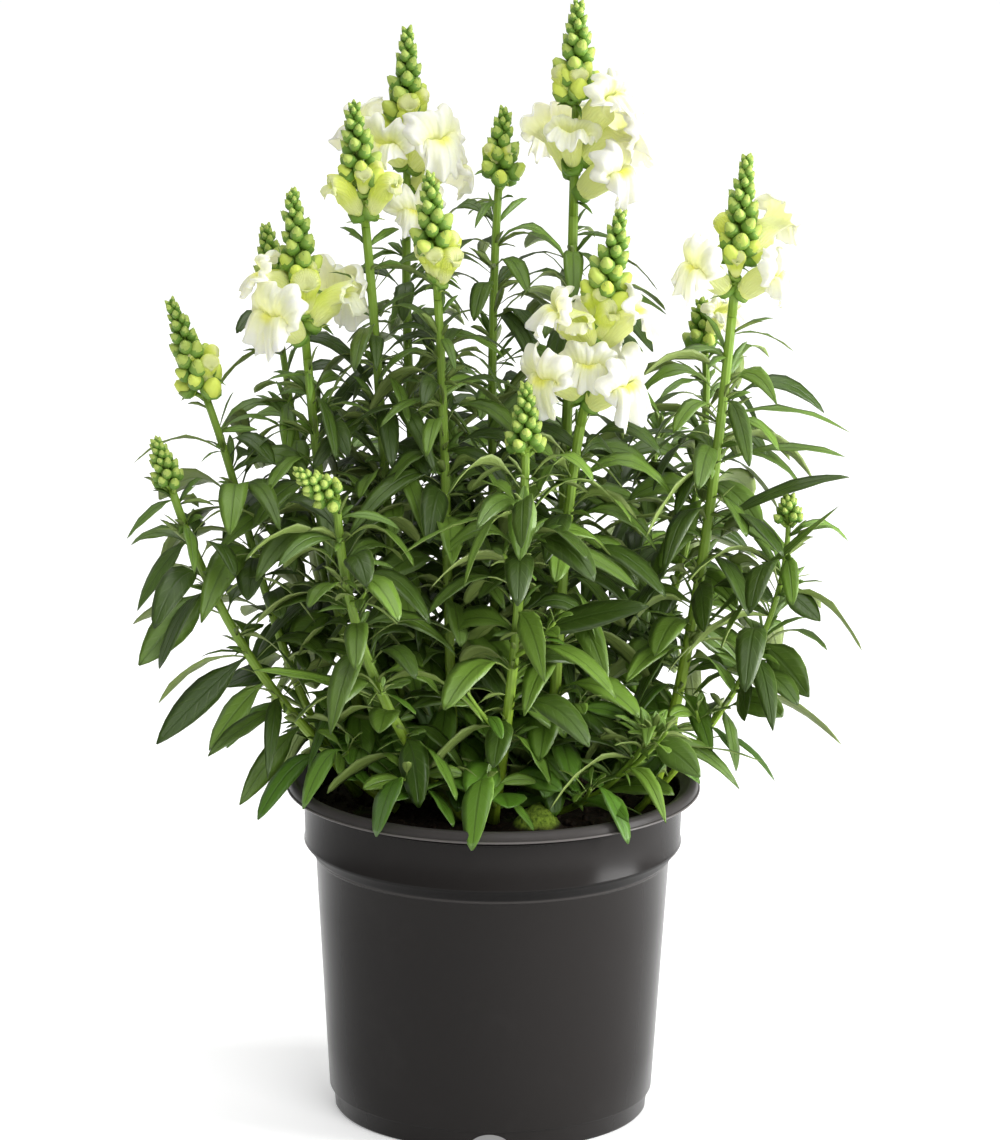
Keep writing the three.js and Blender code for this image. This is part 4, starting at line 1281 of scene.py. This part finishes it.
class SNAPDRAGON_OT_soil(bpy.types.Operator):
    """Fills the pot with peat whose surface is uneven and crumbly"""

    bl_idname = "snapdragon.soil"
    bl_label = "Growing medium"

    SQUASH = [(0.7, 1.4), (0.6, 1.1), (0.5, 0.9)]
    SEED = 4

    def execute(self, context):
        soil, pot = context.scene.snapdragon_soil, context.scene.snapdragon_pot
        gap = pot.wall + CLEARANCE * MM
        top = SOIL_TOP * MM
        outer = pot.collar - gap - 1.2 * MM
        sides = [
            (pot.foot - 30 * MM, gap),
            (pot.foot - 20 * MM, pot.foot_height - 1 * MM),
            (pot.body_base - gap - 1 * MM, pot.foot_height + 6 * MM),
            (pot.body_top - gap - 0.8 * MM, pot.collar_base - 5.5 * MM),
            (outer - 0.6 * MM, pot.collar_base + 4 * MM),
            (outer, top - 2 * MM),
        ]
        surface = [(outer * k / 24, top - 0.02 * MM * k) for k in range(23, 0, -1)]
        ball = turned_blank(96, sides + surface)
        ball.name = "growing_medium"
        for vertex in ball.data.vertices:
            if vertex.co.z > top - 1.5 * MM:
                inward = smooth(vertex.co.xy.length, outer, outer - 10 * MM)
                bumps = noise.fractal(vertex.co * 90, 0.7, 2.1, 5)
                vertex.co.z += float(bumps * inward) * soil.roughness - soil.roughness * 0.6
                away = math.dist(vertex.co.xy, MOSS_CLUMP[:2])
                rise = smooth(away, MOSS_REACH, MOSS_REACH - MOSS_RISE)
                vertex.co.z += MOSS_RISE * float(rise)
        crumbs = self.crumbs(soil, outer, top)
        start_fresh()
        crumbs.select_set(True)
        ball.select_set(True)
        context.view_layer.objects.active = ball
        bpy.ops.object.join()
        bpy.ops.object.shade_smooth()
        coat(ball, peat(soil))
        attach(ball, "root")
        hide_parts("soil")
        return {"FINISHED"}

    def crumbs(self, soil, outer, top):
        """Loose crumbs scattered over the surface."""
        start_fresh()
        bpy.ops.mesh.primitive_ico_sphere_add(subdivisions=1, radius=1)
        blank = Blank(bpy.context.object, around)
        chance = random.Random(self.SEED)
        points, faces = [], []
        for _ in range(soil.crumbs):
            radius = (outer - 3 * MM) * math.sqrt(chance.random())
            turn = chance.uniform(0, math.tau)
            size = chance.uniform(0.8, 2.4) * MM
            angle = chance.uniform(0, math.tau)
            spin = Matrix.Rotation(angle, 3, Vector((chance.random(), 1, chance.random())))
            squash = np.array([chance.uniform(*span) for span in self.SQUASH])
            centre = (radius * math.cos(turn), radius * math.sin(turn), top - soil.roughness / 2)
            first = len(points)
            points.extend((blank.points * squash) @ np.array(spin) * size + centre)
            faces.extend(tuple(first + i for i in face) for face in blank.faces)
        mesh = bpy.data.meshes.new("crumbs")
        mesh.from_pydata(points, [], faces)
        return add_object("crumbs", mesh)


class SNAPDRAGON_OT_shoots(bpy.types.Operator):
    """Grows the leafy shoots: stem, leaves, inner leaves and the tufts in the leaf joints"""

    bl_idname = "snapdragon.shoots"
    bl_label = "Leafy shoots"

    # rows of a main leaf, a broad leaf and a leaf of a tuft: how far along, how wide
    LEAF_ROWS = [(0, 0.09), (0.09, 0.11), (0.19, 0.33), (0.31, 0.76), (0.44, 0.99), (0.58, 1.0),
                 (0.71, 0.87), (0.83, 0.63), (0.93, 0.34), (1, 0.05)]
    LOW_ROWS = [(0, 0.06), (0.18, 0.07), (0.28, 0.24), (0.38, 0.66), (0.5, 0.94), (0.62, 1.0),
                (0.75, 0.93), (0.87, 0.7), (0.95, 0.42), (1, 0.08)]
    TUFT_ROWS = [(0, 0.2), (0.25, 0.75), (0.55, 1.0), (0.82, 0.6), (1, 0.08)]
    # a leaf wider than this share of its length takes the broad shape
    STOUT = 0.27
    # the width that is left to leaves over the rim, and over these heights to high ones
    SLIM = 0.7
    SLIM_HEIGHTS = (270, 330)
    # where inner leaves are thinned out, and the share that is left out there
    FRONT, FRONT_HEIGHT, FRONT_BARE = -42, 255, 0.6
    SIDE, SIDE_BARE = 120, 0.65
    LOW_LEAVES, BRANCH_LEAVES, TOP_LEAVES = 7, 7, 14
    LOW_SLOPES = (-24, -12, 0, 12, 26)
    TIP_LIFT = 8

    def inner_leaves(self, number, shoot, count, room):
        """Further leaves between the main ones, only clear of flowers and pot."""
        curve = stem_curve(shoot)
        for index in range(count):
            seed = number * 100 + index + 5000
            share = mix(0.04, 0.93, (index + 0.5) / count)
            base = bezier(curve, mix(0.06, 0.985, share))[0]
            bearing = shoot.turn + 64 + index * GOLDEN_ANGLE + between(-25, 25, seed)
            leaf = leaf_at(base, bearing, share * 0.85, seed, between(0.62, 0.95, seed + 9))
            leaf = leaf._replace(tip=leaf.tip + UP * self.TIP_LIFT * smooth(share, 0.12, 0.35))
            inside = np.all(leaf.tip > CAD_LOW + 5) and np.all(leaf.tip < CAD_HIGH - 5)
            in_front = leaf.tip[1] < self.FRONT and leaf.tip[2] < self.FRONT_HEIGHT
            at_side = abs(leaf.tip[0]) > self.SIDE
            if (over_rim(leaf) or in_front and vary(seed + 13) < self.FRONT_BARE
                    or at_side and vary(seed + 14) < self.SIDE_BARE):
                continue
            leaf = leaf._replace(lift=leaf.lift * mix(1, 1.45, smooth(share, 0.3, 0.6)))
            if inside and room.is_clear(room.probes(leaf), number):
                yield leaf

    def low_leaves(self, number, shoot, room):
        """Broad leaves near the soil that rest just above it and the rim."""
        for index in range(self.LOW_LEAVES):
            seed = number * 100 + index + 8000
            share = mix(0.02, 0.2, (index + vary(seed)) / self.LOW_LEAVES)
            base = bezier(stem_curve(shoot), share)[0]
            bearing = shoot.turn + 20 + index * GOLDEN_ANGLE
            length = between(24, 44, seed + 1)
            for slope in self.LOW_SLOPES:
                leaf = Leaf(
                    base, base + heading(bearing, slope) * length,
                    length * between(0.36, 0.54, seed + 2), length * between(0.2, 0.4, seed + 3),
                    between(-55, 55, seed + 4), 0, 0, between(0.1, 1, seed + 5),
                )
                if room.is_clear(room.probes(leaf), number):
                    if not over_rim(leaf):
                        yield leaf
                    break

    def branch(self, growth, spec, seed):
        """A short side branch with leaves towards its tip."""
        number, share, tip, length = spec
        start = bezier(stem_curve(SHOOTS[number - 1]), share)[0]
        tip = np.array(tip, float)
        handles = [start, mix(start, tip, 0.55) - UP * 4, tip]
        lay_stalk(growth, self.stalk, handles, lambda t: mix(1.3, 0.7, t), 1, vary(seed), 0.6)
        bearing = bearing_of(tip - start)
        for index in range(self.BRANCH_LEAVES):
            way = index / (self.BRANCH_LEAVES - 1)
            size = length * mix(1.15, 0.4, way) * between(0.85, 1.15, seed + index)
            base = bezier(handles, mix(0.5, 1, way))[0]
            rise = mix(-20, 55, way) + between(-12, 12, seed + index + 9)
            aim = heading(bearing + index * GOLDEN_ANGLE + 60, rise)
            leaf = sprout(base, aim, size, seed + index, (0.26, 0.36), (0.15, 0.4), 50, 14,
                          mix(0.1, 1.0, way), (0.5, 1))
            lay_blade(growth, self.broad, leaf, 0, fold=0.25, wave=0.2)

    def top_leaves(self, shoot, seed):
        """Young leaves that stand round the tip of a shoot without a spike."""
        spike = np.linalg.norm(np.subtract(shoot.tip, shoot.crown))
        for index in range(self.TOP_LEAVES):
            way = index / (self.TOP_LEAVES - 1)
            size = mix(25, 10, way) * between(0.85, 1.15, seed + index)
            base = below_tip(shoot, spike + mix(11, 0.5, way))
            aim = heading(seed + index * GOLDEN_ANGLE, mix(8, 74, way))
            yield sprout(base, aim, size, seed + index, (0.24, 0.32), (0.1, 0.25), 25, 10,
                         1.0, (0.3, 1))

    def tuft(self, leaf, seed):
        """Small leaves that grow from the joint of a leaf."""
        bearing = bearing_of(leaf.tip - leaf.base)
        for index in range(2 + int(vary(seed) * 3)):
            turn = bearing + between(-75, 75, seed + index * 3 + 1)
            rise = between(-5, 52, seed + index * 3 + 2)
            size = between(9, 23, seed + index * 3 + 3)
            start = leaf.base + heading(turn, rise) * 0.5
            yield Leaf(
                start, start + heading(turn, rise) * size, between(1.8, 4.2, seed + index),
                size * between(0.12, 0.34, seed + index + 40),
                between(-70, 70, seed + index + 50), 20, 0.95, vary(seed + index + 60),
            )

    def lay_main(self, growth, number, leaves):
        """The main and inner leaves; those placed one by one come first and keep their width."""
        placed = sum(entry[0] == number for entry in PLACED_LEAVES)
        for index, leaf in enumerate(leaves):
            shape, slim = self.blade, 1
            if index >= placed:
                if leaf.width > self.STOUT * np.linalg.norm(leaf.tip - leaf.base):
                    shape = self.broad
                slim = mix(1, self.SLIM, smooth(leaf.base[2], *self.SLIM_HEIGHTS))
                if over_rim(leaf):
                    slim = self.SLIM
            lay_blade(growth, shape, leaf._replace(width=leaf.width * slim), 0,
                      fold=mix(0.1, 0.34, leaf.tint), wave=mix(0.1, 0.6, leaf.tint))

    def hanging_leaves(self, number):
        """The leaves of a shoot that hang over the rim."""
        for at, base, tip, width, lift, roll in RIM_LEAVES:
            if at == number:
                base, tip = np.array(base, float), np.array(tip, float)
                yield Leaf(base, tip, width, lift, roll, 14, 0.12, vary(width))

    def execute(self, context):
        look = context.scene.snapdragon_leaf
        finishes = [leaf_green(look), stem_green(context.scene.snapdragon_stem)]
        self.blade = blade_blank(self.LEAF_ROWS, 4, 0.45)
        self.broad = blade_blank(self.LOW_ROWS, 4, 0.45)
        sprig = blade_blank(self.TUFT_ROWS, 2, 0.3)
        self.stalk = stalk_blank(10, 22)
        leaves, room = plan_leaves()
        for number, shoot in enumerate(SHOOTS, 1):
            growth = Growth()

            def radius(way):
                return shoot.stem * (mix(1, STEM_TAPER, way) + 0.25 * smooth(way, 0.04, 0))

            ages = self.stalk.points[:, 2]
            lay_stalk(growth, self.stalk, stem_curve(shoot), radius, 1, vary(number), ages)
            inner = self.inner_leaves(number, shoot, round(shoot.leaves * look.fill), room)
            self.lay_main(growth, number, leaves[number] + list(inner))
            for leaf in self.low_leaves(number, shoot, room):
                lay_blade(growth, self.broad, leaf, 0, fold=0.18, wave=0.3)
            for leaf in self.hanging_leaves(number):
                lay_blade(growth, self.broad, leaf, 0, fold=0.18, wave=0.3)
            for index, spec in enumerate(SIDE_BRANCHES):
                if spec[0] == number:
                    self.branch(growth, spec, 300 + index * 70)
            for index, leaf in enumerate(leaves[number]):
                for small in self.tuft(leaf, number * 700 + index * 11):
                    lay_blade(growth, sprig, small, 0, fold=0.3)
            if not shoot.budded:
                for leaf in self.top_leaves(shoot, number * 30):
                    lay_blade(growth, self.blade, leaf, 0, fold=0.3, wave=0.2)
            growth.piece(f"leafy_shoot_{number:02}", f"shoot_{number:02}", "foliage", finishes)
        return {"FINISHED"}


class SNAPDRAGON_OT_spikes(bpy.types.Operator):
    """Grows the flower spikes: stalk, closed buds in their sepals, hooded flowers and bracts"""

    bl_idname = "snapdragon.spikes"
    bl_label = "Flower spikes"

    # rings of a bud and of its sepals: how far out, how far up
    BUD = [(0.5, 0.04), (0.86, 0.19), (1.0, 0.38), (0.9, 0.58), (0.64, 0.78), (0.3, 0.94)]
    CUP = [(0.5, 0.02), (1.14, 0.2), (1.2, 0.45), (1.17, 0.72), (0.9, 0.56)]
    TOOTH_RISE, GAP_DROP = 0.24, 0.22
    LARGEST_BUD = 4.6
    # the sepals of a flower
    CUP_RADIUS, CUP_LENGTH, CUP_SINK = 3.9, 6.5, 1.2
    # buds on a spike for each bud's radius of its length
    CROWDING = 3.7

    def cup_blank(self):
        """Five pointed sepals on a round base, closed over inside."""
        cup = turned_blank(10, self.CUP)
        for vertex in cup.data.vertices:
            if vertex.co.z > 0.65:
                tooth = round(math.degrees(math.atan2(vertex.co.y, vertex.co.x)) / 36) % 2
                vertex.co.z += self.TOOTH_RISE if tooth else -self.GAP_DROP
        return Blank(cup, around)

    def hugging(self, cup, part):
        """The cup's points drawn in to the skin of a bud, of which it covers a part."""
        radii, heights = zip(*[(0.4, 0)] + self.BUD + [(0.1, 1)])
        snug = np.interp(cup.points[:, 2] * part, heights, radii)
        return cup.points * np.column_stack([snug, snug, np.ones(len(snug))])

    def lay_bud(self, growth, shoot, drop, turn, seed):
        """One closed bud on its short stalk, in its sepals."""
        ripe = drop / shoot.budded
        axis = unit(np.subtract(shoot.tip, shoot.crown).astype(float))
        u, v = across(axis)
        angle = math.radians(turn)
        out = u * math.cos(angle) + v * math.sin(angle)
        steep = math.radians(mix(68, 44, ripe ** 0.6) + between(-7, 7, seed))
        aim = unit(out * math.cos(steep) + axis * math.sin(steep))
        radius = mix(1.25, shoot.bud, ripe ** 1.05) * between(0.82, 1.1, seed + 1)
        length = radius * mix(3.5, 2.75, ripe)
        neck = mix(0.5, 3.6, ripe)
        start = below_tip(shoot, drop + length * 0.55) + out * mix(0.4, 1.3, ripe)
        seat = start + aim * neck
        stalk = [start, start + aim * neck * 0.5, seat]
        lay_stalk(growth, self.twig, stalk, 0.8 + 0.3 * ripe, 2, 0.5, 0.9)
        swollen = (ripe * shoot.bud / self.LARGEST_BUD) ** 4 * between(0.7, 1.15, seed + 3)
        lay_upright(growth, self.bud, seat, aim, radius, length, 0, vary(seed), swollen)
        part = mix(1.12, 0.56, smooth(radius, 2.7, 4.8))
        cup = self.cup.shaped(self.hugging(self.cup, part))
        tint = vary(seed + 2) * 0.6
        lay_upright(growth, cup, seat - aim * 0.2, aim, radius, length * part, 1, tint, ripe)
        if seed % 2 and ripe > 0.4:
            base, size = start - axis, between(3.5, 6.5, seed + 6)
            leaf = Leaf(base, base + (out * 0.8 + axis * 0.75) * size, 1.9, -0.3, 0, 0, 0.9, 0.2)
            lay_blade(growth, self.bract, leaf, 1, fold=0.3)

    def lay_bract(self, growth, place, seed):
        """The narrow leaf under a flower's stalk."""
        bearing = bearing_of(place.out) + between(-20, 20, seed)
        size = between(7, 13, seed + 1)
        way = heading(bearing, between(-25, 20, seed + 2)) * size
        leaf = Leaf(
            place.root, place.root + way, between(2.2, 3.6, seed + 3), size * 0.3,
            between(-30, 30, seed + 4), 0, 0.9, vary(seed),
        )
        lay_blade(growth, self.bract, leaf, 1, fold=0.3)

    def lay_cup(self, growth, place, seed):
        """Stalk, sepals and bract of a flower."""
        stalk = [place.root, place.root + place.aim * 2, place.seat]
        lay_stalk(growth, self.twig, stalk, 1.15, 2, 0.5, 0.9)
        base = place.seat - place.aim * self.CUP_SINK
        radius, length = self.CUP_RADIUS * place.size, self.CUP_LENGTH * place.size
        lay_upright(growth, self.cup, base, place.aim, radius, length, 1, vary(seed + 5), 1)
        self.lay_bract(growth, place, seed)

    def execute(self, context):
        look = context.scene.snapdragon_bud
        petal = petal_skin(context.scene.snapdragon_petal)
        stem = stem_green(context.scene.snapdragon_stem)
        finishes = [bud_skin(look), sepal_green(look), stem, petal]
        self.bud = Blank(turned_blank(10, self.BUD), around)
        self.cup = self.cup_blank()
        self.twig = stalk_blank(6, 2)
        self.bract = blade_blank(SNAPDRAGON_OT_shoots.TUFT_ROWS, 2, 0.3)
        sleeve = sleeve_blank(32, 20)
        axis_blank = stalk_blank(10, 6)
        for number, shoot in enumerate(SHOOTS, 1):
            if not shoot.budded:
                continue
            growth = Growth()
            crown, tip = np.array(shoot.crown, float), np.array(shoot.tip, float)
            foot = crown + unit(tip - crown) * CLEARANCE
            lay_stalk(growth, axis_blank, [foot, mix(foot, tip, 0.5), mix(foot, tip, 0.985)],
                      lambda t: shoot.stem * STEM_TAPER * mix(1, 0.35, t ** 1.5), 2, 0.5, 0.95)
            count = round(self.CROWDING * shoot.budded / shoot.bud)
            for index in range(count):
                drop = shoot.budded * ((index + 0.35) / count) ** 1.25
                turn = index * GOLDEN_ANGLE + number * 40
                self.lay_bud(growth, shoot, drop, turn, number * 90 + index)
            for index, flower in enumerate(HOODED_FLOWERS):
                if flower[0] == number:
                    place = flower_place(flower, HOOD_RISE + 12 * smooth(flower[4], 0.5, 0))
                    lay_flower(growth, sleeve, place, flower[4], 60 + index, 3)
                    self.lay_cup(growth, place, 900 + index)
            for index, flower in enumerate(OPEN_FLOWERS):
                if flower[0] == number:
                    self.lay_cup(growth, flower_place(flower, FLOWER_RISE), 950 + index)
            growth.piece(f"bud_spike_{number:02}", f"flower_spike_{number:02}", "spike", finishes)
        return {"FINISHED"}


class SNAPDRAGON_OT_flowers(bpy.types.Operator):
    """Opens the flowers: tube, two upper lobes, three lower lobes and the palate between them"""

    bl_idname = "snapdragon.flowers"
    bl_label = "Open flowers"

    # sizes of flowers seen from the front and from the side, and the bearings off the front
    # between which one turns into the other
    FRONT_SPREAD, SIDE_SPREAD = 0.9, 1.38
    SPREAD_OVER = (12, 60)
    # how far a face turns to the front at most, and the bearing past which it doesn't
    SWING, REARMOST = 40, 115

    def place(self, flower):
        """Where the flower sits: steeper if it faces up, turned forwards if it is at a side."""
        bearing, face = flower[2], flower[4]
        off = (270 - bearing + 180) % 360 - 180
        swing = min(max(off * 0.5, -self.SWING), self.SWING) if abs(off) < self.REARMOST else 0
        place = flower_place(flower, FLOWER_RISE + 0.35 * (face - FACE_RISE), face, swing)
        spread = mix(self.FRONT_SPREAD, self.SIDE_SPREAD, smooth(abs(off), *self.SPREAD_OVER))
        return place._replace(size=place.size * spread)

    def execute(self, context):
        look = context.scene.snapdragon_petal
        finish = petal_skin(look)
        sleeve = sleeve_blank(96, 26)
        counts = {}
        for index, flower in enumerate(OPEN_FLOWERS):
            number = flower[0]
            counts[number] = counts.get(number, 0) + 1
            growth = Growth()
            lay_flower(growth, sleeve, self.place(flower), flower[5], index, 0, look.ruffle * 2,
                       look.thickness / MM)
            label = f"{number:02}_{counts[number]}"
            growth.piece(f"snapdragon_flower_{label}", f"flower_{label}", "petal", [finish])
        return {"FINISHED"}


class SNAPDRAGON_OT_stage(bpy.types.Operator):
    """Sets the pale floor, the soft studio light and the camera"""

    bl_idname = "snapdragon.stage"
    bl_label = "Stage"

    # how the camera looks down and leans, in degrees, and where it stands to the right and up
    PITCH = 14.618
    ROLL = 0.55
    EYE = (2.2 * MM, 1167.3 * MM)
    FLOOR_SIZE = 40
    # size, place and aim of each light, in metres
    LIGHTS = {
        "top": (5.0, (0, 1.0, 3.6), (0, 0.7, 0)),
        "key": (1.6, (0.9, -2.2, 2.0), (0, 0, 0.3)),
        "side": (1.0, (1.9, -0.35, 0.6), (0, 0, 0.2)),
        "edge": (0.8, (-1.6, 0.9, 0.5), (0, 0, 0.15)),
    }

    def softbox(self, name, power, size, location, target):
        light = bpy.data.lights.new(name, "AREA")
        light.energy, light.size = power, size
        lamp = add_object(name, light)
        lamp.location = location
        aim = Vector(target) - Vector(location)
        lamp.rotation_euler = aim.to_track_quat("-Z", "Y").to_euler()

    def camera(self, stage):
        pitch, roll = math.radians(self.PITCH), math.radians(self.ROLL)
        right = Vector((1, 0, 0))
        ahead = Vector((0, math.cos(pitch), -math.sin(pitch)))
        up = Vector((0, math.sin(pitch), math.cos(pitch)))
        leaning = right * math.cos(roll) + up * math.sin(roll)
        upright = up * math.cos(roll) - right * math.sin(roll)
        data = bpy.data.cameras.new("camera")
        data.lens, data.sensor_width, data.clip_end = stage.lens, 36, 100
        camera = add_object("camera", data)
        turned = Matrix((leaning, upright, -ahead)).transposed().to_4x4()
        place = Matrix.Translation((self.EYE[0], -stage.distance, self.EYE[1]))
        camera.matrix_world = place @ turned
        bpy.context.scene.camera = camera

    def execute(self, context):
        stage = context.scene.snapdragon_stage
        start_fresh()
        bpy.ops.mesh.primitive_plane_add(size=self.FLOOR_SIZE)
        floor = context.object
        floor.name = "studio_floor"
        paper = Finish(
            "studio_paper",
            {"Roughness": 0.9, "Specular IOR Level": 0.1, "Emission Color": WHITE,
             "Emission Strength": stage.glow},
        )
        shaded = paper.blend(paper.clouds(3) * 0.04, stage.floor, (0.86, 0.86, 0.86))
        coat(floor, paper.shade(Base_Color=shaded))
        floor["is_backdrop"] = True
        world = context.scene.world or bpy.data.worlds.new("studio")
        context.scene.world = world
        world.use_nodes = True
        background = world.node_tree.nodes["Background"]
        background.inputs["Color"].default_value = WHITE
        background.inputs["Strength"].default_value = stage.sky
        for name, (size, location, target) in self.LIGHTS.items():
            self.softbox(f"{name}_light", getattr(stage, name), size, location, target)
        self.camera(stage)
        context.scene.view_settings.view_transform = "Standard"
        return {"FINISHED"}


class SNAPDRAGON_PT_panel(bpy.types.Panel):
    """Lists the sizes and colours, and the operators that make the pieces"""

    bl_idname = "SNAPDRAGON_PT_panel"
    bl_label = "Potted snapdragon"
    bl_space_type = "VIEW_3D"
    bl_region_type = "UI"
    bl_category = "Snapdragon"

    def draw(self, context):
        for name, (group, operators) in PARTS.items():
            box = self.layout.box()
            for setting in group.__annotations__:
                box.prop(getattr(context.scene, name), setting)
            for operator in operators:
                box.operator(operator.bl_idname)


PARTS = {
    "snapdragon_pot": (SnapdragonPot, [SNAPDRAGON_OT_pot]),
    "snapdragon_soil": (SnapdragonSoil, [SNAPDRAGON_OT_soil]),
    "snapdragon_leaf": (SnapdragonLeaf, [SNAPDRAGON_OT_shoots]),
    "snapdragon_stem": (SnapdragonStem, []),
    "snapdragon_bud": (SnapdragonBud, [SNAPDRAGON_OT_spikes]),
    "snapdragon_petal": (SnapdragonPetal, [SNAPDRAGON_OT_flowers]),
    "snapdragon_stage": (SnapdragonStage, [SNAPDRAGON_OT_stage]),
}


def register():
    for name, (group, operators) in PARTS.items():
        bpy.utils.register_class(group)
        setattr(bpy.types.Scene, name, PointerProperty(type=group))
        for operator in operators:
            bpy.utils.register_class(operator)
    bpy.utils.register_class(SNAPDRAGON_PT_panel)


def unregister():
    bpy.utils.unregister_class(SNAPDRAGON_PT_panel)
    for name, (group, operators) in PARTS.items():
        for operator in operators:
            bpy.utils.unregister_class(operator)
        delattr(bpy.types.Scene, name)
        bpy.utils.unregister_class(group)


def main():
    register()
    bpy.ops.snapdragon.stage()
    bpy.ops.snapdragon.pot()
    bpy.ops.snapdragon.soil()
    bpy.ops.snapdragon.shoots()
    bpy.ops.snapdragon.spikes()
    bpy.ops.snapdragon.flowers()
    boxes = {"cad": CAD_BOX, "visual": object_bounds()}
    {name: [list(corner) for corner in box] for name, box in boxes.items()}


if __name__ == "__main__":
    main()
